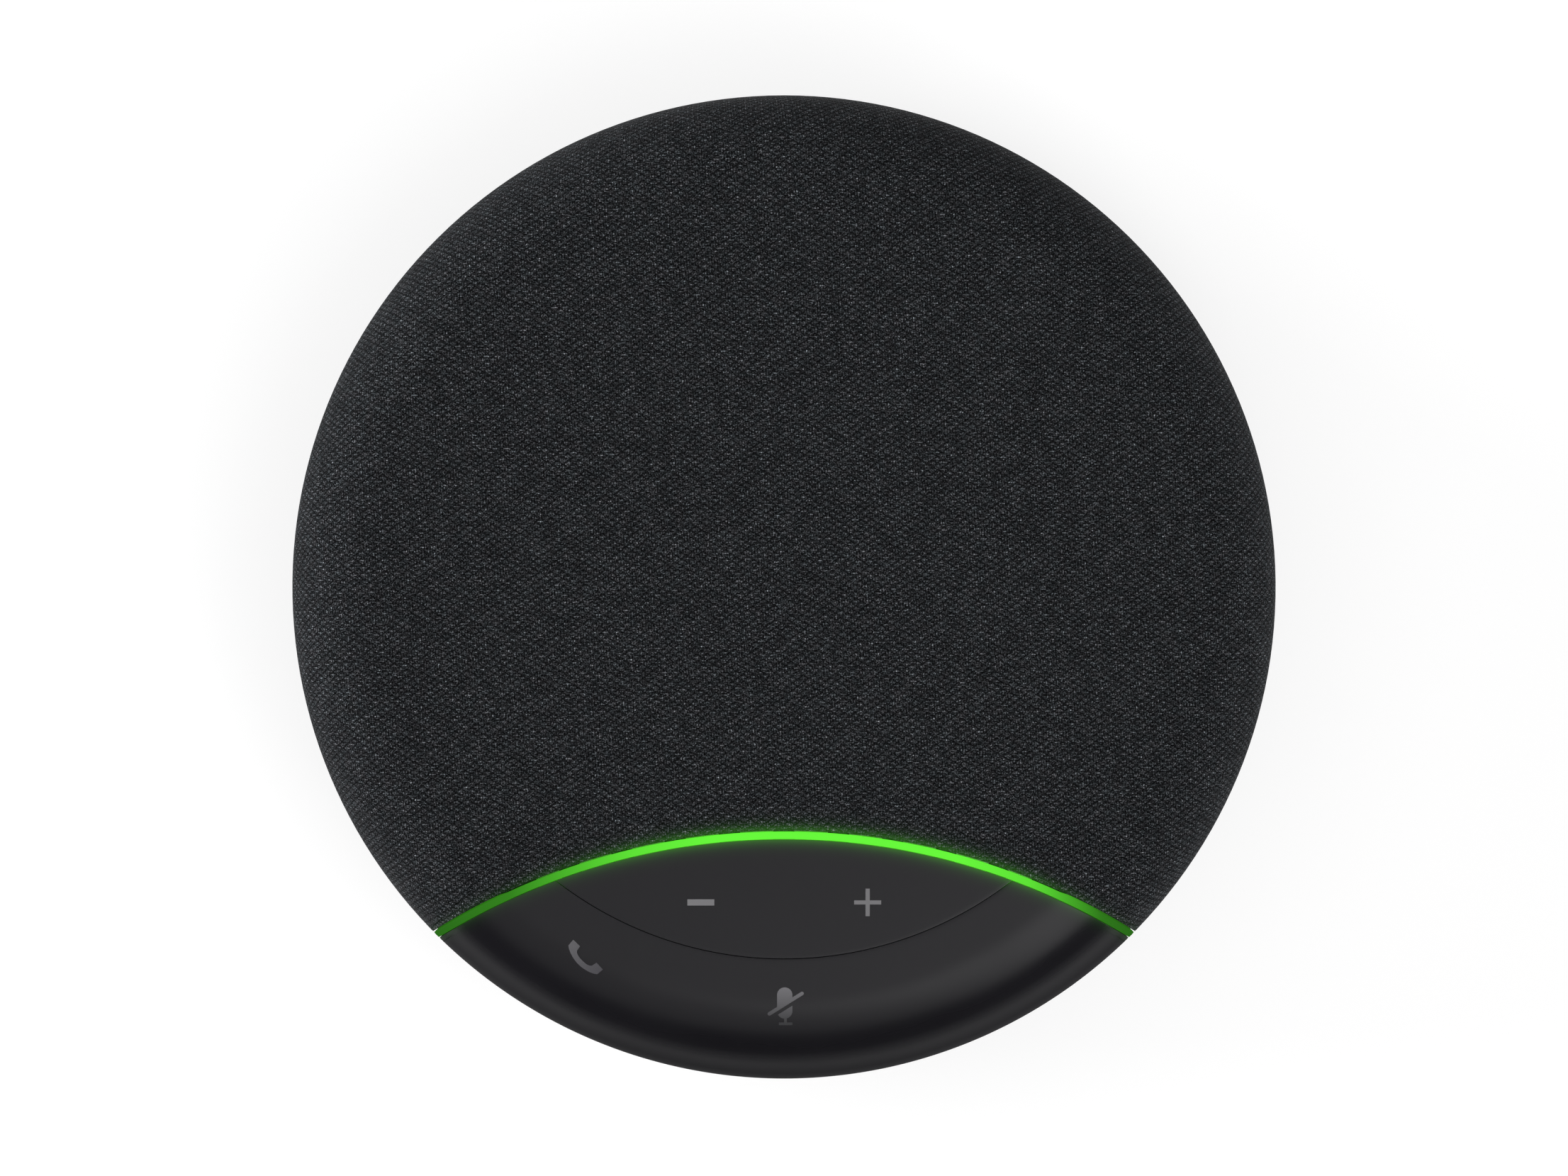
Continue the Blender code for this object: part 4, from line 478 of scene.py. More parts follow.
@dataclass(frozen=True)
class WovenCloth(Finish):
    """Dark melange cloth in a plain weave, with specks of paler fibre and painted shade between its stitches.

    The lattice steps, stitches and strands are in millimetres, and the depths and shades are steps of tone.
    """

    name: str = "woven_cloth"
    uv_name: str = "cloth"
    step_right: Plan = (0.629, 0.458)
    step_left: Plan = (-0.708, 0.405)
    stitch: Pair = (0.40, 0.31)
    stitch_edge: Pair = (1.33, 0.67)
    # Painted shade, darker in the gaps between stitches, in steps of tone
    stitch_shade: float = 1.35
    stitch_mean: float = 0.6
    strand_pitch: Pair = (0.357, 0.339)
    strand_shift: Pair = (0.01, 0.05)
    # Painted shade between the strands of a stitch, in steps of tone
    strand_shade: Pair = (0.30, 0.38)
    sway: Place = (0.4 * MM, 0.3 * MM, 0.0)
    sway_scale: float = 160.0
    fibre: float = 0.175 * MM
    hair_depth: float = 9.4
    hair_relief: float = 0.8
    yarn_depth: float = 0.55
    patch_depth: float = 0.15
    patch_scale: float = 140.0
    middle: float = 0.0122
    hue_scale: float = 900.0
    hue_range: Pair = (0.35, 0.65)
    cool: Colour = (0.90, 1.0, 1.09, 1.0)
    warm: Colour = (0.97, 0.99, 1.07, 1.0)
    # The guide's glow painted on the cloth as emission: where it is full, its fade and its strength
    spill: Pair = (0.9 * MM, 0.46 * MM)
    glow: float = 0.068
    relief: float = 0.06 * MM
    roughness: float = 0.92
    gloss: float = 0.01
    sheen: float = 0.055
    sheen_spread: float = 0.35
    sheen_tint: Colour = grey(0.8)

    def dress(self, recipe: Recipe) -> None:
        """Lays down the nodes.

        Args:
            recipe: The material to dress.
        """
        flat = recipe.add("UVMap", uv_map=self.uv_name).outputs[0]
        waver = recipe.fill(recipe.add("TexNoise"), Vector=flat, Scale=self.sway_scale)
        drift = recipe.vector('SUBTRACT', waver.outputs["Color"], (0.5, 0.5, 0.5)).outputs[0]
        drift = recipe.vector('MULTIPLY', drift, self.sway).outputs[0]
        loose = recipe.vector('ADD', flat, drift).outputs[0]
        # The stitch tone is painted shade of the weave; fibre, yarn and patch tone are added to it
        mound, tone, yarn = self.stitches(recipe, loose)
        hairs = recipe.noise(loose, 1 / self.fibre, detail=1.0, roughness=0.8)
        patches = recipe.noise(flat, self.patch_scale)
        for part, depth in ((hairs, self.hair_depth), (yarn, self.yarn_depth), (patches, self.patch_depth)):
            even = recipe.maths('SUBTRACT', part, 0.5)
            tone = recipe.maths('ADD', tone, recipe.maths('MULTIPLY', even, depth))
        shade = recipe.maths('MULTIPLY', recipe.maths('EXPONENT', tone), self.middle)
        warmth = recipe.fit(recipe.noise(flat, self.hue_scale, detail=1.0), *self.hue_range)
        colour = recipe.vector('MULTIPLY', recipe.mix(warmth, self.cool, self.warm), shade).outputs[0]
        recipe.surface(Base_Color=colour, Roughness=self.roughness, Specular_IOR_Level=self.gloss,
                       Sheen_Weight=self.sheen, Sheen_Roughness=self.sheen_spread,
                       Sheen_Tint=self.sheen_tint)
        # Paints the guide's green glow onto the cloth beside the arc
        recipe.paint_spill_glow(*self.spill, self.glow)
        relief = recipe.maths('ADD', mound, recipe.maths('MULTIPLY', hairs, self.hair_relief))
        recipe.bump(relief, self.relief)

    def stitches(self, recipe: Recipe, place: Socket) -> tuple[Socket, Socket, Socket]:
        """Round stitches on a slanted lattice, each of three upright strands over one that crosses.

        Args:
            recipe: The finish.
            place: Flat place on the cloth, in metres.

        Returns:
            The stitch's height from 0 to 1, its tone, with painted shade in the gaps between stitches and
            strands, and a random value of its own.
        """
        steps = Matrix((self.step_right, self.step_left)).transposed()
        shares = steps.inverted()
        place = recipe.mapped(place, scale=(1 / MM, 1 / MM, 1.0))
        counts = [recipe.dot(place, (*shares[index], 0.0)) for index in (0, 1)]
        count = recipe.fill(recipe.add("CombineXYZ"), *counts).outputs[0]
        moved = recipe.vector('ADD', count, (0.5, 0.5, 0.0)).outputs[0]
        middle = recipe.vector('FLOOR', moved).outputs[0]
        away = recipe.vector('SUBTRACT', count, middle).outputs[0]
        reach: Feed = 0.0
        strands: Feed = 1.0
        for index in (0, 1):
            along = recipe.dot(away, (*steps[index], 0.0))
            share = recipe.maths('DIVIDE', along, self.stitch[index])
            reach = recipe.maths('ADD', recipe.maths('MULTIPLY', share, share), reach)
            turn = recipe.maths('SUBTRACT', along, self.strand_shift[index])
            turn = recipe.maths('MULTIPLY', turn, 2 * math.pi / self.strand_pitch[index])
            wave = recipe.maths('MULTIPLY', recipe.maths('COSINE', turn), self.strand_shade[index])
            strands = recipe.maths('ADD', wave, strands)
        mound = recipe.fit(recipe.maths('SQRT', reach), *self.stitch_edge)
        # Painted shade: darker toward each stitch's edge and in the grooves between its strands
        tone = recipe.maths('MULTIPLY', recipe.maths('MULTIPLY', mound, strands), self.stitch_shade)
        tone = recipe.maths('SUBTRACT', tone, self.stitch_shade * self.stitch_mean)
        own = recipe.fill(recipe.add("TexWhiteNoise", noise_dimensions='3D'), Vector=middle)
        return mound, tone, own.outputs["Value"]


@dataclass(frozen=True)
class SatinPanel(Finish):
    """Dark satin plastic of the keys, sleek on the shoulder and matt on the front wall."""

    name: str = "panel_plastic"
    colour: Colour = (0.0066, 0.0062, 0.0078, 1.0)
    paler: float = 1.08
    flat: float = 0.32
    sleek: float = 0.24
    matt: float = 0.95
    gloss: float = 0.175
    shoulder: Pair = (34.6 * MM, 36.4 * MM)
    front: Pair = (30.8 * MM, 33.8 * MM)
    haze_scale: float = 90.0
    haze_range: Pair = (0.25, 0.75)
    wear: Pair = (-0.02, 0.03)
    # The guide's glow painted on the keys as emission: where it is full, its fade and its strength
    spill: Pair = (0.65 * MM, 0.45 * MM)
    glow: float = 0.105
    grain: float = 9000.0
    relief: float = 0.004 * MM

    def dress(self, recipe: Recipe) -> None:
        """Lays down the nodes.

        Args:
            recipe: The material to dress.
        """
        place = recipe.here()
        haze = recipe.noise(place, self.haze_scale, detail=3.0)
        level = recipe.axis(place, 2)
        satin = recipe.fit(level, *self.front, self.matt, self.sleek)
        satin = recipe.maths('ADD', satin, recipe.fit(level, *self.shoulder, 0.0, self.flat - self.sleek))
        satin = recipe.maths('ADD', satin, recipe.worn(haze, 0.0, self.wear))
        share = recipe.fit(haze, *self.haze_range)
        tint = recipe.mix(share, self.colour, shaded(self.colour, self.paler))
        recipe.surface(Base_Color=tint, Roughness=satin, Specular_IOR_Level=self.gloss)
        # Paints the guide's green glow onto the keys beside the arc
        recipe.paint_spill_glow(*self.spill, self.glow)
        recipe.bump(recipe.noise(place, self.grain), self.relief)


@dataclass(frozen=True)
class GlowStrip(Finish):
    """Lit light guide, dimmer where it turns down over the shoulder."""

    name: str = "light_guide_plastic"
    dim: Colour = display(14, 36, 12)
    bright: Colour = display(20, 44, 16)

    def dress(self, recipe: Recipe) -> None:
        """Lays down the nodes.

        Args:
            recipe: The material to dress.
        """
        level = recipe.light_level()
        recipe.surface(Base_Color=recipe.mix(level, self.dim, self.bright), Roughness=0.5,
                       Specular_IOR_Level=0.0, Emission_Color=recipe.mix(level, DARK, GREEN),
                       Emission_Strength=1.0)


@dataclass(frozen=True)
class MouldedPlastic(Finish):
    """Plain moulded plastic with a spark-eroded grain."""

    name: str
    colour: Colour
    roughness: float = 0.55
    gloss: float = 0.4
    grain: float = 3200.0
    relief: float = 0.012 * MM
    cloud_scale: float = 60.0
    wear: Pair = (-0.04, 0.05)
    paler: Pair = (1.18, 0.001)

    def dress(self, recipe: Recipe) -> None:
        """Lays down the nodes.

        Args:
            recipe: The material to dress.
        """
        place = recipe.here()
        cloud = recipe.noise(place, self.cloud_scale, detail=3.0)
        paler = shaded(self.colour, *self.paler)
        recipe.surface(Base_Color=recipe.mix(recipe.fit(cloud, *CLOUD), self.colour, paler),
                       Roughness=recipe.worn(cloud, self.roughness, self.wear), Specular_IOR_Level=self.gloss)
        recipe.bump(recipe.noise(place, self.grain, roughness=0.6), self.relief)


@dataclass(frozen=True)
class SoftRubber(Finish):
    """Matt rubber with a dusty bloom."""

    name: str
    colour: Colour
    bloom_scale: float = 130.0
    bloom_range: Pair = (0.35, 0.75)
    dust: Pair = (1.7, 0.003)
    roughness: float = 0.85
    gloss: float = 0.25
    grain: float = 2600.0
    relief: float = 0.02 * MM

    def dress(self, recipe: Recipe) -> None:
        """Lays down the nodes.

        Args:
            recipe: The material to dress.
        """
        place = recipe.here()
        haze = recipe.noise(place, self.bloom_scale, detail=4.0, roughness=0.6)
        bloom = recipe.fit(haze, *self.bloom_range)
        dusty = shaded(self.colour, *self.dust)
        recipe.surface(Base_Color=recipe.mix(bloom, self.colour, dusty), Roughness=self.roughness,
                       Specular_IOR_Level=self.gloss)
        recipe.bump(recipe.noise(place, self.grain, detail=3.0), self.relief)


@dataclass(frozen=True)
class PlatedMetal(Finish):
    """Drawn or plated metal with fine streaks along one direction."""

    name: str
    colour: Colour
    roughness: float = 0.32
    streak: Place = (1.0, 1.0, 30.0)
    metal: float = 1.0
    streak_scale: float = 260.0
    wear: Pair = (-0.06, 0.1)
    duller: float = 0.72
    relief: float = 0.006 * MM

    def dress(self, recipe: Recipe) -> None:
        """Lays down the nodes.

        Args:
            recipe: The material to dress.
        """
        along = recipe.mapped(recipe.here(), scale=self.streak)
        lines = recipe.noise(along, self.streak_scale, detail=4.0, roughness=0.6)
        duller = shaded(self.colour, self.duller)
        recipe.surface(Base_Color=recipe.mix(recipe.fit(lines, *CLOUD), duller, self.colour),
                       Metallic=self.metal, Roughness=recipe.worn(lines, self.roughness, self.wear))
        recipe.bump(lines, self.relief)


@dataclass(frozen=True)
class CircuitBoard(Finish):
    """Green lacquer over copper traces and a field of plated holes."""

    name: str = "circuit_board"
    pitch: float = 1.6 * MM
    track_share: float = 0.5
    track_gap: float = 0.06
    track_turn: float = 0.785
    hole_share: float = 0.4
    hole: float = 0.13
    lacquer: Colour = display(18, 66, 38)
    track: Colour = display(34, 96, 56)
    copper: Colour = display(196, 160, 92)
    roughness: float = 0.38
    relief: float = 0.03 * MM

    def dress(self, recipe: Recipe) -> None:
        """Lays down the nodes.

        Args:
            recipe: The material to dress.
        """
        place = recipe.here()
        tracks = recipe.fill(recipe.add("TexBrick", offset=0.5),
                             Vector=recipe.mapped(place, turn=self.track_turn),
                             Scale=self.track_share / self.pitch, Mortar_Size=self.track_gap).outputs["Fac"]
        holes = recipe.fill(recipe.add("TexVoronoi"), Vector=place, Scale=self.hole_share / self.pitch)
        rim = recipe.maths('LESS_THAN', holes.outputs["Distance"], self.hole)
        base = recipe.mix(tracks, self.lacquer, self.track)
        recipe.surface(Base_Color=recipe.mix(rim, base, self.copper), Roughness=self.roughness,
                       Metallic=rim)
        recipe.bump(tracks, self.relief)


@dataclass(frozen=True)
class Fibre(Finish):
    """Felted paper, resin cloth or foam: a matt ground with short fibres or pores."""

    name: str
    colour: Colour
    size: float = 0.5 * MM
    relief: float = 0.08 * MM
    fleck_range: Pair = (0.35, 0.7)
    paler: Pair = (1.6, 0.002)
    roughness: float = 0.92
    gloss: float = 0.2

    def dress(self, recipe: Recipe) -> None:
        """Lays down the nodes.

        Args:
            recipe: The material to dress.
        """
        fleck = recipe.noise(recipe.here(), 1 / self.size, detail=4.0, roughness=0.65)
        paler = shaded(self.colour, *self.paler)
        recipe.surface(Base_Color=recipe.mix(recipe.fit(fleck, *self.fleck_range), self.colour, paler),
                       Roughness=self.roughness, Specular_IOR_Level=self.gloss)
        recipe.bump(fleck, self.relief)


@dataclass(frozen=True)
class Winding(Finish):
    """Enamelled copper wire in close turns, with painted shade in its grooves and a painted highlight on its
    crests.
    """

    name: str = "copper_winding"
    pitch: float = 0.22 * MM
    # Painted shade in the grooves between turns, painted highlight on their crests
    groove: Colour = display(120, 62, 30)
    crest: Colour = display(192, 118, 70)
    metal: float = 0.85
    roughness: float = 0.35
    relief: float = 0.05 * MM

    def dress(self, recipe: Recipe) -> None:
        """Lays down the nodes.

        Args:
            recipe: The material to dress.
        """
        height = recipe.axis(recipe.here(), 2)
        turns = recipe.maths('SINE', recipe.maths('MULTIPLY', height, 2 * math.pi / self.pitch))
        # The colour follows the relief: painted shade in the grooves, painted highlight on the crests
        colour = recipe.mix(recipe.fit(turns, -1.0, 1.0), self.groove, self.crest)
        recipe.surface(Base_Color=colour, Metallic=self.metal, Roughness=self.roughness)
        recipe.bump(turns, self.relief)


@dataclass(frozen=True)
class PrintedSign(Finish):
    """Grey print whose colour runs from near to far along one direction."""

    name: str
    near: Colour
    far: Colour
    start: Plan
    end: Plan
    roughness: float = 0.6
    gloss: float = 0.15
    grain: float = 9000.0
    relief: float = 0.004 * MM

    def dress(self, recipe: Recipe) -> None:
        """Lays down the nodes.

        Args:
            recipe: The material to dress.
        """
        place = recipe.here()
        run = Vector(self.end) - Vector(self.start)
        way = run / run.length_squared
        first = way.dot(Vector(self.start))
        share = recipe.fit(recipe.dot(place, (way.x, way.y, 0.0)), first, first + 1.0)
        recipe.surface(Base_Color=recipe.mix(share, self.near, self.far), Roughness=self.roughness,
                       Specular_IOR_Level=self.gloss)
        recipe.bump(recipe.noise(place, self.grain), self.relief)


# Mesh helpers


def placed(name: str, bm: BMesh) -> Piece:
    """Puts a bmesh into the scene.

    Args:
        name: Name of the object and its mesh.
        bm: The mesh, which is freed.

    Returns:
        The object, at the origin.
    """
    mesh = bpy.data.meshes.new(name)
    bm.to_mesh(mesh)
    bm.free()
    made = bpy.data.objects.new(name, mesh)
    bpy.context.scene.collection.objects.link(made)
    return made


def stand(name: str, bm: BMesh, material: Material, sharp: float = 40.0) -> Piece:
    """Makes a dressed piece of a finished bmesh.

    Args:
        name: Name of the piece.
        bm: The mesh, which is freed.
        material: Its finish.
        sharp: Angle in degrees above which an edge stays sharp.

    Returns:
        The piece, at the origin.
    """
    piece = placed(name, bm)
    piece.data.materials.append(material)
    piece.data.shade_smooth()
    piece.data.set_sharp_from_angle(angle=math.radians(sharp))
    return piece


def attach(piece: Piece, body: Body, slot: str, *nodes: str) -> Piece:
    """Lets a piece ride on a body and stand for solids.

    Args:
        piece: The piece.
        body: The body it moves with.
        slot: The record's material slot, not used.
        *nodes: Solids that it replaces.

    Returns:
        The piece.
    """
    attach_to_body(piece, body.value)
    if nodes:
        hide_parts(*nodes)
    LOG.info("%s rides on %s, %d faces", piece.name, body.value, len(piece.data.polygons))
    return piece


def points(made: Iterable[object]) -> list[BMVert]:
    """The points among what an operator made."""
    return [item for item in made if isinstance(item, BMVert)]


def open_edges(bm: BMesh) -> list[BMEdge]:
    """Edges with a face on one side only."""
    return [edge for edge in bm.edges if edge.is_boundary]


def swivel(bm: BMesh, verts: Sequence[BMVert], angle: float, axis: str = 'Z') -> None:
    """Turns points about an axis through the origin."""
    bmesh.ops.rotate(bm, verts=verts, cent=ORIGIN, matrix=Matrix.Rotation(angle, 3, axis))


def soften(bm: BMesh, edges: Sequence[BMEdge], size: float, segments: int = 2) -> None:
    """Rounds edges."""
    bmesh.ops.bevel(bm, geom=edges, offset=size, offset_type='OFFSET', affect='EDGES', segments=segments,
                    profile=0.5, material=-1)


def weld(bm: BMesh) -> None:
    """Merges doubles and turns the faces outward."""
    bmesh.ops.remove_doubles(bm, verts=bm.verts, dist=WELD)
    bmesh.ops.recalc_face_normals(bm, faces=bm.faces)


def turned(profile: Sequence[Plan], steps: int) -> BMesh:
    """Spins a half section about the body axis.

    Args:
        profile: Points of (radius, height), closed on the axis or back to its start.
        steps: Steps round the axis.

    Returns:
        The closed mesh.
    """
    bm = bmesh.new()
    verts = [bm.verts.new((radius, 0.0, height)) for radius, height in profile]
    edges = [bm.edges.new(pair) for pair in zip(verts, verts[1:])]
    if profile[0][0] > 0.0:
        edges.append(bm.edges.new((verts[-1], verts[0])))
    bmesh.ops.spin(bm, geom=verts + edges, axis=(0.0, 0.0, 1.0), cent=ORIGIN, angle=2 * math.pi, steps=steps,
                   use_merge=True)
    weld(bm)
    return bm


def add_stadium(bm: BMesh, length: float, width: float, corner: float, segments: int = 32) -> BMFace:
    """Adds a flat rectangle with round corners about the origin, in X and Z, facing +Y.

    Args:
        bm: The mesh.
        length: Size along X.
        width: Size along Z.
        corner: Radius of the corners.
        segments: Points round the outline, a multiple of four.

    Returns:
        The face.
    """
    made = bmesh.ops.create_circle(bm, cap_ends=True, radius=corner, segments=segments)["verts"]
    swivel(bm, made, math.pi / segments)
    for vert in made:
        vert.co.x += math.copysign(length / 2 - corner, vert.co.x)
        vert.co.y += math.copysign(width / 2 - corner, vert.co.y)
    swivel(bm, made, QUARTER, 'X')
    face = made[0].link_faces[0]
    face.normal_update()
    if face.normal.y < 0.0:
        face.normal_flip()
    return face


def push(bm: BMesh, faces: list[BMFace], move: Place) -> list[BMFace]:
    """Extrudes faces along a vector and drops the ones they came from.

    Args:
        bm: The mesh.
        faces: Faces to extrude.
        move: How far the new faces go.

    Returns:
        The new faces.
    """
    grown = bmesh.ops.extrude_face_region(bm, geom=faces)["geom"]
    bmesh.ops.translate(bm, vec=move, verts=points(grown))
    bmesh.ops.delete(bm, geom=faces, context='FACES')
    return [item for item in grown if isinstance(item, BMFace)]


def add_bar(bm: BMesh, low: Place, high: Place) -> None:
    """Adds a box.

    Args:
        bm: The mesh.
        low: Its lowest corner.
        high: Its highest corner.
    """
    made = bmesh.ops.create_cube(bm, size=1.0)["verts"]
    bmesh.ops.scale(bm, vec=[b - a for a, b in zip(low, high)], verts=made)
    bmesh.ops.translate(bm, vec=[(a + b) / 2 for a, b in zip(low, high)], verts=made)


def add_post(bm: BMesh, spot: Plan, radius: float, low: float, high: float) -> None:
    """Adds an upright round post between two heights."""
    made = bmesh.ops.create_cone(bm, cap_ends=True, radius1=radius, radius2=radius, depth=high - low,
                                 segments=POST_SEGMENTS)
    bmesh.ops.translate(bm, vec=(*spot, (low + high) / 2), verts=made["verts"])


def helper(name: str, bm: BMesh) -> Piece:
    """Makes a short-lived object that another one is cut with."""
    weld(bm)
    return placed(name, bm)


def carve(target: Piece, tools: Sequence[tuple[str, Piece]]) -> None:
    """Adds or cuts helpers on a piece, keeps the result and removes the helpers.

    Args:
        target: The piece.
        tools: Pairs of a Boolean operation and its helper, in order.
    """
    for operation, tool in tools:
        step = target.modifiers.new(tool.name, 'BOOLEAN')
        step.operation = operation
        step.object = tool
        step.solver = 'EXACT'
    graph = bpy.context.evaluated_depsgraph_get()
    carved = bpy.data.meshes.new_from_object(target.evaluated_get(graph))
    target.modifiers.clear()
    target.data = carved
    carved.set_sharp_from_angle(angle=math.radians(CUT_SHARP))
    for _, tool in tools:
        bpy.data.objects.remove(tool, do_unlink=True)


def grid(bm: BMesh, wide: int, high: int) -> list[tuple[BMVert, int, int]]:
    """Adds a grid whose points the caller puts in their places.

    Args:
        bm: The mesh.
        wide: Faces along it.
        high: Faces across it.

    Returns:
        Its points, each with the numbers of its column and row.
    """
    made = bmesh.ops.create_grid(bm, x_segments=wide, y_segments=high, size=0.5)["verts"]
    return [(vert, round((vert.co.x + 0.5) * wide), round((vert.co.y + 0.5) * high)) for vert in made]


# Pieces of the top


ROLL_STEPS = (0.0, 0.03, 0.12, 0.27, 0.48, 0.73, 1.0)
ROLL_SPARE = 1.05


@dataclass
class SkinSheet:
    """A sheet on the top form, with rolled edges, thin walls and an underside, and legs if it is a key."""

    thickness: float
    roll: float
    softness: float = 1.0
    hem_steps: int = 4
    leg_radius: float = 1.4 * MM
    leg_root: float = 0.2 * MM

    def start(self) -> BMesh:
        """Opens a mesh whose points remember their place on the skin.

        Returns:
            The mesh, still empty.
        """
        bm = bmesh.new()
        self.turn_layer = bm.verts.layers.float.new("turn")
        self.along_layer = bm.verts.layers.float.new("along")
        return bm

    def lay(self, bm: BMesh, columns: Sequence[float], rows: Callable[[float], Sequence[float]]) -> None:
        """Adds a grid whose columns are directions and whose rows are distances along the skin.

        Args:
            bm: The mesh.
            columns: Directions from the body axis.
            rows: Gives a direction's distances along the skin, as many for each.
        """
        table = [rows(turn) for turn in columns]
        for vert, column, row in grid(bm, len(columns) - 1, len(table[0]) - 1):
            vert[self.turn_layer] = columns[column]
            vert[self.along_layer] = table[column][row]

    def rolled(self, gap: float) -> float:
        """Depth of the rounded edge at a distance from it."""
        short = min(self.roll, max(0.0, self.roll - gap))
        return self.softness * (self.roll - math.sqrt(max(0.0, self.roll ** 2 - short ** 2)))

    def sink(self, place: Vector, along: float) -> float:
        """Depth of the sheet below the skin at a place.

        Args:
            place: Point on the skin, not used.
            along: Its distance along the skin.

        Returns:
            The depth, which grows toward the sheet's edges.
        """
        return self.rolled(SKIN.length - along)

    def drop(self, verts: Iterable[BMVert], depth: float) -> None:
        """Puts points at one depth under their place on the skin."""
        for vert in verts:
            vert.co = SKIN.spot(vert[self.turn_layer], vert[self.along_layer], depth)

    def close(self, bm: BMesh) -> None:
        """Shapes the laid grids, rolls their edges and adds walls and an underside.

        Args:
            bm: The mesh with its grids.
        """
        self.drop(bm.verts, 0.0)
        bmesh.ops.remove_doubles(bm, verts=bm.verts, dist=WELD)
        rim = open_edges(bm)
        under = bmesh.ops.duplicate(bm, geom=bm.faces[:])["geom"]
        bmesh.ops.reverse_faces(bm, faces=[item for item in under if isinstance(item, BMFace)])
        wall = bmesh.ops.extrude_edge_only(bm, edges=rim)["geom"]
        sunk = set(points(under + wall))
        for vert in set(bm.verts) - sunk:
            along = vert[self.along_layer]
            depth = min(self.roll, self.sink(vert.co, along))
            vert.co = SKIN.spot(vert[self.turn_layer], along, depth)
        self.drop(sunk, self.thickness)
        weld(bm)

    def add_leg(self, bm: BMesh, spot: Plan, low: float) -> None:
        """Adds a post that reaches from the sheet down to a switch."""
        add_post(bm, spot, self.leg_radius, low, SKIN.over(*spot, self.thickness).z + self.leg_root)

    def edge_turns(self, end: float) -> list[float]:
        """Directions that step away from an upright edge as its roll does."""
        return [end + step * self.roll / SKIN.radius * ROLL_SPARE for step in ROLL_STEPS]

    def hem_rows(self, turn: float) -> list[float]:
        """Distances along the wall down to its rolled bottom edge, the same in each direction."""
        wall = spread(SKIN.wall_start, SKIN.length - self.roll, self.hem_steps)[:-1]
        return wall + [SKIN.length - self.roll * step for step in reversed(ROLL_STEPS)]


@dataclass
class WovenCover(SkinSheet):
    """Cloth stretched over the grille, open along the light arc."""

    thickness: float = 0.9 * MM
    roll: float = 0.45 * MM
    edge: float = 0.56 * MM
    tight: float = 0.95
    crown_rows: int = 10
    shoulder_rows: int = 16
    rear_steps: int = 150
    front_steps: int = 60
    side_steps: int = 32
    side_share: float = 0.8

    def sink(self, place: Vector, along: float) -> float:
        """Rolls the cloth at the arc, tighter down the shoulder, and at its hem.

        Args:
            place: Point on the skin.
            along: Its distance along the skin.

        Returns:
            The depth below the skin.
        """
        down = (along - SKIN.crown_length) / (SKIN.wall_start - SKIN.crown_length)
        loose = 1.0 - self.tight * min(1.0, max(0.0, down))
        return self.rolled(ARC.gap(place) - self.edge) * loose + self.rolled(SKIN.length - along)

    def top_rows(self, turn: float) -> list[float]:
        """Distances from the axis to the arc, or to the top of the wall away from it.

        Args:
            turn: Direction from the body axis.

        Returns:
            The distances along the skin.
        """
        corner = SKIN.crown_length / SKIN.wall_start
        shares = spread(0.0, corner, self.crown_rows)[:-1] + spread(corner, 1.0, self.shoulder_rows)[:-1]
        ends = []
        for step in reversed(ROLL_STEPS):
            offset = self.edge + self.roll * step
            inside = abs(math.remainder(turn, 2 * math.pi)) < ARC.meets(SKIN.radius, offset)
            radius = ARC.plan_radius(turn, offset) if inside else SKIN.radius
            ends.append(SKIN.reach(min(radius, SKIN.radius)))
        return [share * ends[0] for share in shares] + ends

    def build(self) -> None:
        bm = self.start()
        end = ARC.meets(SKIN.radius, self.edge)
        near = self.edge_turns(end)
        far = [2 * math.pi - turn for turn in reversed(near)]
        rear = near + spread(near[-1], far[0], self.rear_steps)[1:-1] + far
        first = ARC.meets(self.side_share * SKIN.radius, self.edge)
        side = spread(first, end, self.side_steps)
        front = [-turn for turn in reversed(side)] + spread(-first, first, self.front_steps)[1:-1] + side[:-1]
        self.lay(bm, front + rear, self.top_rows)
        self.lay(bm, rear, self.hem_rows)
        self.close(bm)
        self.unroll(bm)
        piece = stand("woven_cover", bm, WovenCloth().build())
        attach(piece, Body.BASE, "woven_cloth", "fabric_cover")

    def unroll(self, bm: BMesh) -> None:
        """Gives the cloth a map that lies flat, in metres from the axis.

        Args:
            bm: The mesh of the cover.
        """
        layer = bm.loops.layers.uv.new(WovenCloth().uv_name)
        for face in bm.faces:
            for loop in face.loops:
                turn = loop.vert[self.turn_layer]
                along = loop.vert[self.along_layer]
                loop[layer].uv = (along * math.sin(turn), -along * math.cos(turn))


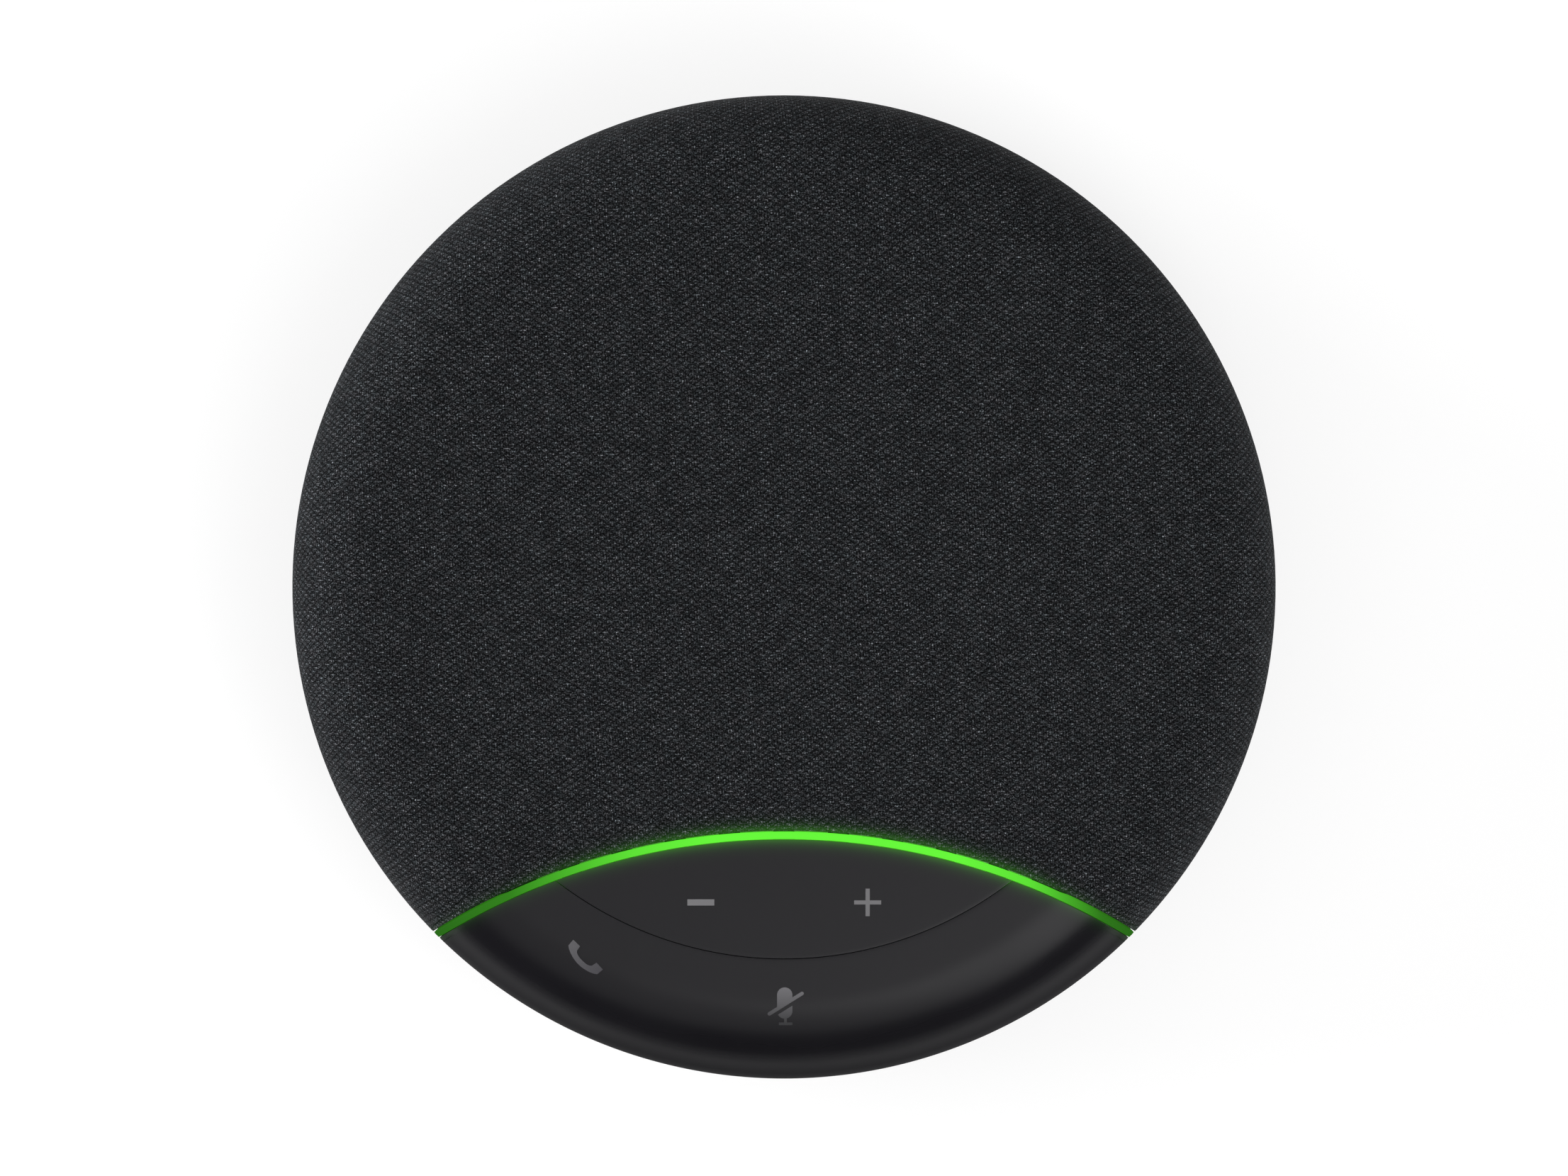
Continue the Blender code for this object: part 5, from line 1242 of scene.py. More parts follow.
@dataclass
class VolumeRocker(SkinSheet):
    """Lens-shaped cap between the light arc and the seam, on a pivot rib with two legs."""

    thickness: float = 2.0 * MM
    roll: float = 0.6 * MM
    softness: float = 0.05
    edge: float = -0.53 * MM
    outer: float = 45.27 * MM
    steps: int = 140
    row_steps: int = 8
    leg_bottom: float = 34.764 * MM
    leg_spots: tuple[Plan, ...] = ((-14.0 * MM, -37.67 * MM), (14.0 * MM, -37.67 * MM))
    rib_low: Place = (-1.8 * MM, -42.4 * MM, 32.664 * MM)
    rib_high: Place = (1.8 * MM, -33.9 * MM, 35.7 * MM)

    def sink(self, place: Vector, along: float) -> float:
        """Rolls the cap at the arc and at the seam."""
        seam = self.rolled(self.outer - math.hypot(place.x, place.y))
        return self.rolled(self.edge - ARC.gap(place)) + seam

    def rows(self, turn: float) -> list[float]:
        """Distances from the arc to the seam.

        Args:
            turn: Direction from the body axis.

        Returns:
            The distances along the skin.
        """
        middle = (ARC.plan_radius(turn, self.edge) + self.outer) / 2
        back = [min(middle, ARC.plan_radius(turn, self.edge - self.roll * step)) for step in ROLL_STEPS]
        front = [max(middle, self.outer - self.roll * step) for step in reversed(ROLL_STEPS)]
        radii = back + spread(back[-1], front[0], self.row_steps)[1:-1] + front
        return [SKIN.reach(radius) for radius in radii]

    def build(self, finish: Material) -> None:
        """Models the rocker.

        Args:
            finish: Finish of the keys.
        """
        bm = self.start()
        end = ARC.meets(self.outer, self.edge)
        self.lay(bm, spread(-end, end, self.steps), self.rows)
        self.close(bm)
        for spot in self.leg_spots:
            self.add_leg(bm, spot, self.leg_bottom)
        add_bar(bm, self.rib_low, self.rib_high)
        attach(stand("rocker_cap", bm, finish), Body.ROCKER, "panel_plastic", "volume_rocker")


@dataclass
class FrontKey(SkinSheet):
    """Crescent key from the seam over the shoulder to the bottom of the wall, on four legs.

    The legs are pairs of a direction in degrees and the height of the bottom.
    """

    thickness: float = 2.0 * MM
    roll: float = 0.6 * MM
    softness: float = 0.05
    edge: float = -0.53 * MM
    inner: float = 45.35 * MM
    middle_steps: int = 110
    side_steps: int = 18
    row_steps: int = 24
    leg_circle: float = 48.55 * MM
    legs: tuple[Pair, ...] = ((-28.0, 34.764 * MM), (0.0, 34.764 * MM), (-34.0, 29.564 * MM),
                              (34.0, 29.564 * MM))

    def sink(self, place: Vector, along: float) -> float:
        """Rolls the key at the arc, at the seam and at its bottom edge."""
        seam = self.rolled(math.hypot(place.x, place.y) - self.inner)
        return self.rolled(self.edge - ARC.gap(place)) + seam + self.rolled(SKIN.length - along)

    def top_rows(self, turn: float) -> list[float]:
        """Distances from the seam or the arc to the top of the wall.

        Args:
            turn: Direction from the body axis.

        Returns:
            The distances along the skin.
        """
        starts = []
        for step in ROLL_STEPS:
            shift = self.roll * step
            radius = max(self.inner + shift, ARC.plan_radius(turn, self.edge - shift))
            starts.append(SKIN.reach(min(radius, SKIN.radius)))
        return starts + spread(starts[-1], SKIN.wall_start, self.row_steps)[1:]

    def build(self, finish: Material) -> None:
        """Models the key.

        Args:
            finish: Finish of the keys.
        """
        bm = self.start()
        end = ARC.meets(SKIN.radius, self.edge)
        tip = ARC.meets(self.inner, self.edge)
        right = [2 * end - turn for turn in reversed(self.edge_turns(end))]
        side = spread(tip, right[0], self.side_steps)[:-1] + right
        columns = [-turn for turn in reversed(side)] + spread(-tip, tip, self.middle_steps)[1:-1] + side
        self.lay(bm, columns, self.top_rows)
        self.lay(bm, columns, self.hem_rows)
        self.close(bm)
        for angle, low in self.legs:
            turn = math.radians(angle)
            self.add_leg(bm, (self.leg_circle * math.sin(turn), -self.leg_circle * math.cos(turn)), low)
        attach(stand("front_key_cap", bm, finish), Body.FRONT, "panel_plastic", "front_key")


@dataclass
class LightGuide:
    """Clear bar along the light arc that runs over the shoulder and down the wall on both sides."""

    proud: float = 0.01 * MM
    shift: float = -0.03 * MM
    corner: float = 0.15 * MM
    depth: float = 3.0 * MM
    corner_steps: int = 5
    flat_steps: int = 48
    bend_steps: int = 18
    wall_steps: int = 6

    def section(self) -> list[Plan]:
        """Outline across the bar.

        Returns:
            Closed line of (offset, depth).
        """
        half, corner = ARC.half_width, self.corner
        side = bend((half - corner, corner - self.proud), (corner, corner), -QUARTER, 0.0, self.corner_steps)
        right = side + [(half, self.depth)]
        left = [(-offset, depth) for offset, depth in reversed(right)]
        return [(offset + self.shift, depth) for offset, depth in left + right + [left[0]]]

    def stations(self) -> list[Pair]:
        """Places along the bar.

        Returns:
            Pairs of the share of the swing and the distance down the wall.
        """
        over = [ARC.swing(SKIN.axis + SKIN.shoulder * math.sin(t), 0.0) / ARC.swing(SKIN.radius, 0.0)
                for t in spread(SKIN.turn, QUARTER, self.bend_steps)]
        shares = spread(0.0, over[0], self.flat_steps)[:-1] + over
        wall = spread(0.0, SKIN.length - SKIN.wall_start, self.wall_steps)[1:]
        half = [(share, 0.0) for share in shares] + [(1.0, down) for down in wall]
        return [(-share, down) for share, down in reversed(half[1:])] + half

    def point(self, station: Pair, offset: float, depth: float) -> Vector:
        """Point of the bar's surface.

        Args:
            station: Place along the bar.
            offset: Place across it.
            depth: Depth under the skin.

        Returns:
            The point.
        """
        share, down = station
        if abs(share) == 1.0:
            turn = math.copysign(ARC.meets(SKIN.radius, offset), share)
            return SKIN.spot(turn, SKIN.wall_start + down, depth)
        swing = share * ARC.swing(SKIN.radius, offset)
        edge = ARC.radius + offset
        return SKIN.over(edge * math.sin(swing), edge * math.cos(swing) - ARC.back, depth)

    def build(self) -> None:
        """Models the guide."""
        bm = bmesh.new()
        section, stations = self.section(), self.stations()
        for vert, column, row in grid(bm, len(stations) - 1, len(section) - 1):
            vert.co = self.point(stations[column], *section[row])
        bmesh.ops.remove_doubles(bm, verts=bm.verts, dist=WELD)
        bmesh.ops.holes_fill(bm, edges=open_edges(bm), sides=0)
        weld(bm)
        piece = stand("light_strip", bm, GlowStrip().build())
        attach(piece, Body.BASE, "light_guide_plastic", "light_guide")


# Pieces of the bottom


@dataclass
class BottomCase:
    """Flared bowl with screw bosses, a port pocket and two key holes at the rear, and its keys.

    The posts at the case screws are (radius, bottom, top), or (radius, bottom) up to the split.
    """

    base: float = 50.0 * MM
    flare: float = 9.5 * MM
    split: float = 16.0 * MM
    rise: float = 15.2 * MM
    floor: float = 0.8 * MM
    wall: float = 2.0 * MM
    ledge: float = 1.8 * MM
    lip_outer: float = 56.1 * MM
    lip_inner: float = 54.7 * MM
    lip_height: float = 2.2 * MM
    rim: float = 0.35 * MM
    groove_inner: float = 39.7 * MM
    groove_outer: float = 48.3 * MM
    groove: float = 1.0 * MM
    outer_steps: int = 30
    rim_steps: int = 4
    inner_steps: int = 16
    screw_spot: Plan = (26.4 * MM, 35.2 * MM)
    boss_foot: Place = (4.4 * MM, 2.3 * MM, 6.0 * MM)
    boss_neck: Pair = (3.2 * MM, 2.3 * MM)
    head_sink: Place = (2.6 * MM, 0.5 * MM, 3.9 * MM)
    screw_bore: Place = (1.55 * MM, 0.5 * MM, 17.0 * MM)
    port_face: float = 56.444 * MM
    port_level: float = 9.8 * MM
    port_size: Pair = (13.0 * MM, 7.0 * MM)
    port_corner: float = 2.0 * MM
    pad_half: float = 8.0 * MM
    pad_depth: float = 2.0 * MM
    pad_low: float = 6.3 * MM
    slot_size: Pair = (9.5 * MM, 3.8 * MM)
    slot_corner: float = 1.6 * MM
    slot_start: float = 52.0 * MM
    cut_length: float = 20.0 * MM
    fit: float = 0.3 * MM
    hole_flat: float = 0.05 * MM
    key_level: float = 10.8 * MM
    key_size: Pair = (8.0 * MM, 3.2 * MM)
    key_angle: float = math.radians(17.0)
    key_round: float = 0.48
    key_segments: int = 40
    key_start: float = 54.6 * MM
    key_depth: float = 2.6 * MM
    key_proud: float = 0.4 * MM
    key_edge: float = 0.35 * MM
    key_border: float = 0.5 * MM
    key_slope: float = 0.45 * MM
    key_dish: float = 0.08 * MM

    def radius_at(self, level: float, grow: float = 0.0) -> float:
        """Outer radius at a level below the split, grown outward."""
        drop = min(1.0, (self.split - level) / (self.rise + grow))
        return self.base + (self.flare + grow) * math.sqrt(1.0 - drop ** 2)

    def profile(self) -> list[Plan]:
        """Half section of the bowl.

        Returns:
            Points from the axis under the floor round the wall and back to the axis.
        """
        under = self.floor + self.groove
        foot = [(0.0, self.floor), (self.groove_inner, self.floor), (self.groove_inner, under),
                (self.groove_outer, under), (self.groove_outer, self.floor)]
        centre = (self.base, self.split)
        end = -math.asin(self.rim / self.rise)
        outer = bend(centre, (self.flare, self.rise), -QUARTER, end, self.outer_steps)
        corner = (self.base + self.flare - self.rim, self.split - self.rim)
        rim = bend(corner, (self.rim, self.rim), 0.0, QUARTER, self.rim_steps)[1:]
        top = self.split + self.lip_height
        lip = [(self.lip_outer, self.split), (self.lip_outer, top), (self.lip_inner, top),
               (self.lip_inner, self.split - self.ledge)]
        start = -math.asin(self.ledge / (self.rise - self.wall))
        inner = bend(centre, (self.flare - self.wall, self.rise - self.wall), start, -QUARTER,
                     self.inner_steps)
        return foot + outer + rim + lip + inner + [(0.0, self.floor + self.wall)]

    def posts(self, name: str, radius: float, low: float, high: float) -> Piece:
        """Helper with one post at each case screw.

        Args:
            name: Its name.
            radius: Radius of the posts.
            low: Height of their bottom.
            high: Height of their top.

        Returns:
            The helper.
        """
        bm = bmesh.new()
        for side in (1, -1):
            for end in (1, -1):
                add_post(bm, (side * self.screw_spot[0], end * self.screw_spot[1]), radius, low, high)
        return helper(name, bm)

    def send_back(self, bm: BMesh, start: float, level: float, turn: float) -> None:
        """Moves a mesh from the origin to the rear wall and round it."""
        bmesh.ops.translate(bm, vec=(0.0, start, level), verts=bm.verts)
        swivel(bm, bm.verts, turn)

    def plug(self, name: str, size: Pair, corner: float, level: float, start: float,
             turn: float = 0.0) -> Piece:
        """Helper prism with round corners that runs out through the rear wall.

        Args:
            name: Its name.
            size: Width and height.
            corner: Corner radius.
            level: Height of its middle.
            start: Distance from the body axis at which it starts.
            turn: Direction from the rear, toward -X.

        Returns:
            The helper.
        """
        bm = bmesh.new()
        face = add_stadium(bm, *size, corner)
        grown = bmesh.ops.extrude_face_region(bm, geom=[face])["geom"]
        bmesh.ops.translate(bm, vec=(0.0, self.cut_length, 0.0), verts=points(grown))
        self.send_back(bm, start, level, turn)
        return helper(name, bm)

    def build(self) -> None:
        """Models the case."""
        finish = MouldedPlastic("case_plastic", display(30, 30, 32), roughness=0.5, gloss=0.35)
        piece = stand("case_bowl", turned(self.profile(), ROUND_STEPS), finish.build(), CUT_SHARP)
        pad = bmesh.new()
        add_bar(pad, (-self.pad_half, self.port_face - self.pad_depth, self.pad_low),
                (self.pad_half, self.port_face, self.split - self.ledge / 2))
        pocket = self.plug("port_pocket", self.port_size, self.port_corner, self.port_level, self.port_face)
        slot = self.plug("port_slot", self.slot_size, self.slot_corner, self.port_level, self.slot_start)
        tools = [('UNION', self.posts("boss_feet", *self.boss_foot)),
                 ('UNION', self.posts("boss_necks", *self.boss_neck, self.split - self.fit / 2)),
                 ('UNION', helper("port_pad", pad)),
                 ('DIFFERENCE', self.posts("head_sinks", *self.head_sink)),
                 ('DIFFERENCE', self.posts("screw_bores", *self.screw_bore)),
                 ('DIFFERENCE', pocket),
                 ('DIFFERENCE', slot)]
        hole = (self.key_size[0] + 2 * self.fit, self.key_size[1] + 2 * self.fit)
        for name, side in (("key_hole_1", 1), ("key_hole_0", -1)):
            cut = self.plug(name, hole, hole[1] / 2 - self.hole_flat, self.key_level, self.base,
                            side * self.key_angle)
            tools.append(('DIFFERENCE', cut))
        carve(piece, tools)
        attach(piece, Body.BASE, "case_plastic", "bottom_case")

    def build_key(self, name: str, body: Body, side: int, finish: Material) -> None:
        """Models one of the rear keys, whose dished face follows the bowl.

        Args:
            name: Name of the solid that it replaces.
            body: The body it moves with.
            side: 1 toward -X, -1 toward +X.
            finish: Its finish.
        """
        bm = bmesh.new()
        width, height = self.key_size
        face = add_stadium(bm, width, height, height * self.key_round, self.key_segments)
        front = push(bm, [face], (0.0, self.key_depth, 0.0))
        bmesh.ops.holes_fill(bm, edges=open_edges(bm), sides=0)
        soften(bm, front[0].edges[:], self.key_edge, segments=4)
        bm.faces.ensure_lookup_table()
        face = max(bm.faces, key=lambda item: item.calc_center_median().y)
        bmesh.ops.inset_region(bm, faces=[face], thickness=self.key_border)
        bmesh.ops.inset_region(bm, faces=[face], thickness=self.key_slope, depth=-self.key_dish)
        for vert in bm.verts:
            if vert.co.y > self.key_depth / 2:
                radius = self.radius_at(self.key_level + vert.co.z, self.key_proud)
                vert.co.y += math.sqrt(radius ** 2 - vert.co.x ** 2) - self.key_start - self.key_depth
        self.send_back(bm, self.key_start, self.key_level, side * self.key_angle)
        weld(bm)
        attach(stand(name + "_cap", bm, finish), body, "side_key_plastic", name)


@dataclass
class FootRing:
    """Rubber ring under the case, with two shallow grooves for grip."""

    inner: float = 40.0 * MM
    outer: float = 48.0 * MM
    top: float = 1.5 * MM
    edge: float = 0.45 * MM
    edge_steps: int = 4
    groove: float = 0.3 * MM
    groove_steps: int = 6
    groove_shares: Pair = (0.36, 0.64)

    def build(self) -> None:
        """Models the ring."""
        left = bend((self.inner + self.edge, self.edge), (-self.edge, -self.edge), 0.0, QUARTER,
                    self.edge_steps)
        right = [(self.inner + self.outer - radius, height) for radius, height in reversed(left)]
        grooves: list[Plan] = []
        for share in self.groove_shares:
            middle = self.inner + (self.outer - self.inner) * share
            grooves += bend((middle, 0.0), (-self.groove, self.groove), 0.0, math.pi, self.groove_steps)
        profile = [(self.inner, self.top)] + left + grooves + right + [(self.outer, self.top)]
        rubber = SoftRubber("foot_rubber", display(26, 26, 27)).build()
        attach(stand("foot_pad", turned(profile, ROUND_STEPS), rubber), Body.BASE, "soft_rubber", "foot_ring")


@dataclass
class UsbSocket:
    """Drawn steel shell with its tongue and contacts in the rear port."""

    width: float = 8.9 * MM
    height: float = 3.2 * MM
    depth: float = 7.3 * MM
    rounding: float = 0.46
    segments: int = 40
    shell: float = 0.35 * MM
    back_wall: float = 1.2 * MM
    shell_edge: float = 0.1 * MM
    mouth: float = 56.344 * MM
    level: float = 9.8 * MM
    tongue_share: Pair = (0.375, 0.11)
    tongue_back: float = 1.0 * MM
    tongue_front: float = 0.8 * MM
    tongue_edge: float = 0.12 * MM
    contacts: int = 12
    contact_share: float = 0.28
    contact_half: float = 0.03 * MM
    contact_short: float = 0.4 * MM

    def build(self) -> None:
        """Models the shell, the tongue and the contacts."""
        tin = PlatedMetal("tinned_shell", display(196, 196, 194), roughness=0.28, streak=(1.0, 30.0, 1.0))
        attach(stand("usb_shell", self.shell_mesh(), tin.build()), Body.BASE, "tinned_shell", "usb_socket")
        plastic = MouldedPlastic("tongue_plastic", display(20, 20, 21), roughness=0.5)
        tongue, pads = self.inner_meshes()
        attach(stand("usb_tongue", tongue, plastic.build()), Body.BASE, "switch_plastic")
        gold = PlatedMetal("gold_plate", display(214, 172, 92), roughness=0.3, streak=(1.0, 20.0, 1.0))
        attach(stand("usb_contacts", pads, gold.build()), Body.BASE, "tinned_shell")

    def shell_mesh(self) -> BMesh:
        """Shell with a closed back and a rounded mouth.

        Returns:
            The mesh.
        """
        bm = bmesh.new()
        face = add_stadium(bm, self.width, self.height, self.height * self.rounding, self.segments)
        outline = face.edges[:]
        bmesh.ops.inset_region(bm, faces=[face], thickness=self.shell)
        push(bm, [face], (0.0, self.back_wall - self.depth, 0.0))
        grown = bmesh.ops.extrude_edge_only(bm, edges=open_edges(bm))["geom"]
        bmesh.ops.translate(bm, vec=(0.0, -self.depth, 0.0), verts=points(grown))
        bmesh.ops.holes_fill(bm, edges=open_edges(bm), sides=0)
        soften(bm, [edge for edge in outline if edge.is_valid], self.shell_edge)
        bmesh.ops.translate(bm, vec=(0.0, self.mouth, self.level), verts=bm.verts)
        weld(bm)
        return bm

    def inner_meshes(self) -> tuple[BMesh, BMesh]:
        """Tongue in the shell, and the contacts on its two sides.

        Returns:
            The meshes of the tongue and of the contacts.
        """
        half, thick = self.width * self.tongue_share[0], self.height * self.tongue_share[1]
        back, front = self.mouth - self.depth + self.tongue_back, self.mouth - self.tongue_front
        tongue = bmesh.new()
        add_bar(tongue, (-half, back, self.level - thick), (half, front, self.level + thick))
        soften(tongue, tongue.edges[:], self.tongue_edge)
        pads = bmesh.new()
        pitch = 2 * half / (self.contacts + 1)
        wide = pitch * self.contact_share
        for index in range(self.contacts):
            x = -half + pitch * (index + 1)
            for side in (1, -1):
                low = self.level + side * thick - self.contact_half
                high = low + 2 * self.contact_half
                add_bar(pads, (x - wide, back, low), (x + wide, front - self.contact_short, high))
        return tongue, pads


# Signs on the keys


@dataclass
class Signs:
    """Flat printed signs: minus and plus on the rocker, handset and muted microphone on the front key.

    Places and sizes of the strokes are in millimetres. A bar is its middle and its size, a pill its two ends.
    """

    proud: float = 0.035 * MM
    sunk: float = 0.05 * MM
    row: float = 0.35 * MM
    scale: float = 0.998 * MM
    pill_segments: int = 28
    minus_spot: Plan = (-10.15, -38.50)
    minus_size: Pair = (3.29, 0.76)
    plus_spot: Plan = (10.21, -38.50)
    plus_upright: Pair = (0.52, 3.36)
    plus_arm: Pair = (1.39, 0.50)
    plus_reach: float = 0.955
    handset_spot: Plan = (-24.20, -45.16)
    handset_half: tuple[Plan, ...] = (
        (0.0, -0.60), (0.42, -0.59), (0.75, -0.54), (1.06, -0.42), (1.28, -0.24), (1.42, 0.43), (2.57, 0.41),
        (2.49, -0.50), (2.12, -0.76), (1.62, -0.98), (1.0, -1.16), (0.5, -1.245), (0.0, -1.27))
    handset_merge: float = 0.01
    handset_flat: float = 0.01
    capsule: tuple[Plan, Plan] = ((0.09, -49.81), (0.09, -51.75))
    capsule_width: float = 1.88
    stem: tuple[Plan, Pair] = ((0.18, -52.90), (0.34, 0.50))
    stem_foot: tuple[Plan, Pair] = ((0.20, -53.32), (1.66, 0.34))
    slash: tuple[Plan, Plan] = ((-1.78, -52.10), (2.20, -49.62))
    slash_width: float = 0.44
    slash_gap: float = 0.42

    def bar(self, bm: BMesh, centre: Plan, size: Pair) -> None:
        """Adds a flat rectangle.

        Args:
            bm: The mesh.
            centre: Its middle.
            size: Its width and height.
        """
        made = bmesh.ops.create_grid(bm, x_segments=1, y_segments=1, size=0.5)["verts"]
        bmesh.ops.scale(bm, vec=(*size, 1.0), verts=made)
        bmesh.ops.translate(bm, vec=(*centre, 0.0), verts=made)

    def pill(self, bm: BMesh, ends: tuple[Plan, Plan], width: float) -> list[BMVert]:
        """Adds a flat bar with round ends.

        Args:
            bm: The mesh.
            ends: Centres of the two ends.
            width: Its width.

        Returns:
            Its points.
        """
        start, end = Vector(ends[0]), Vector(ends[1])
        run = end - start
        made = bmesh.ops.create_circle(bm, cap_ends=True, radius=width / 2,
                                       segments=self.pill_segments)["verts"]
        swivel(bm, made, math.pi / self.pill_segments)
        for vert in made:
            vert.co.x += math.copysign(run.length / 2, vert.co.x)
        swivel(bm, made, math.atan2(run.y, run.x))
        bmesh.ops.translate(bm, vec=((start + end) / 2).to_3d(), verts=made)
        return made

    def handset(self, bm: BMesh) -> None:
        """Adds a handset that leans to the left, half of it mirrored.

        Args:
            bm: The mesh, still empty.
        """
        face = bm.faces.new([bm.verts.new((x, y, 0.0)) for x, y in self.handset_half])
        geom = [face, *face.verts, *face.edges]
        bmesh.ops.mirror(bm, geom=geom, merge_dist=self.handset_merge, axis='X')
        bmesh.ops.dissolve_limit(bm, angle_limit=self.handset_flat, verts=bm.verts, edges=bm.edges)
        swivel(bm, bm.verts, -math.pi / 4)
        bmesh.ops.translate(bm, vec=(*self.handset_spot, 0.0), verts=bm.verts)

    def microphone(self, bm: BMesh) -> None:
        """Adds a microphone on its foot, struck through.

        Args:
            bm: The mesh.
        """
        start, end = Vector(self.slash[0]), Vector(self.slash[1])
        across = Vector((start.y - end.y, end.x - start.x, 0.0)).normalized()
        middle = (start + end).to_3d() / 2
        half = self.slash_width / 2
        for shift, above in ((half, True), (-half - self.slash_gap, False)):
            made = self.pill(bm, self.capsule, self.capsule_width)
            geom = made + list({edge for vert in made for edge in vert.link_edges}) + made[0].link_faces[:]
            bmesh.ops.bisect_plane(bm, geom=geom, plane_co=middle + across * shift, plane_no=across,
                                   clear_inner=above, clear_outer=not above)
        self.pill(bm, self.slash, self.slash_width)
        self.bar(bm, *self.stem)
        self.bar(bm, *self.stem_foot)

    def lay(self, name: str, bm: BMesh, finish: PrintedSign, body: Body) -> None:
        """Lays a flat sign on the skin, thin and closed.

        Args:
            name: Name of the piece.
            bm: Its flat faces, in millimetres.
            finish: Its print.
            body: The body that it moves with.
        """
        bmesh.ops.scale(bm, vec=(self.scale, self.scale, self.scale), verts=bm.verts)
        low = min(vert.co.y for vert in bm.verts)
        high = max(vert.co.y for vert in bm.verts)
        for level in spread(low, high, max(2, round((high - low) / self.row)))[1:-1]:
            bmesh.ops.bisect_plane(bm, geom=bm.verts[:] + bm.edges[:] + bm.faces[:],
                                   plane_co=(0.0, level, 0.0), plane_no=(0.0, 1.0, 0.0))
        for face in bm.faces:
            face.normal_update()
            if face.normal.z < 0.0:
                face.normal_flip()
        made = bmesh.ops.extrude_face_region(bm, geom=bm.faces[:], use_keep_orig=True)["geom"]
        upper = set(points(made))
        for vert in bm.verts:
            vert.co = SKIN.over(vert.co.x, vert.co.y, -self.proud if vert in upper else self.sunk)
        attach(stand(name, bm, finish.build()), body, "panel_plastic")

    def build(self) -> None:
        """Models the four signs."""
        minus, plus, handset, mic = (bmesh.new() for _ in range(4))
        self.bar(minus, self.minus_spot, self.minus_size)
        self.bar(plus, self.plus_spot, self.plus_upright)
        for side in (1, -1):
            self.bar(plus, (self.plus_spot[0] + side * self.plus_reach, self.plus_spot[1]), self.plus_arm)
        self.handset(handset)
        self.microphone(mic)
        level = PrintedSign("volume_print", display(112, 111, 113), display(108, 107, 109),
                            start=(-0.012, 0.0), end=(0.012, 0.0))
        # The handset and microphone prints grow darker toward the front key's shoulder
        call = PrintedSign("call_print", display(88, 87, 90), display(66, 65, 69),
                           start=(-0.0258, -0.0433), end=(-0.0226, -0.0470))
        mute = PrintedSign("mute_print", display(103, 102, 105), display(50, 50, 52),
                           start=(0.0, -0.0489), end=(0.0, -0.0533))
        self.lay("minus_sign", minus, level, Body.ROCKER)
        self.lay("plus_sign", plus, level, Body.ROCKER)
        self.lay("handset_sign", handset, call, Body.FRONT)
        self.lay("muted_mic_sign", mic, mute, Body.FRONT)


# The speaker's soft rings and the solids that stay


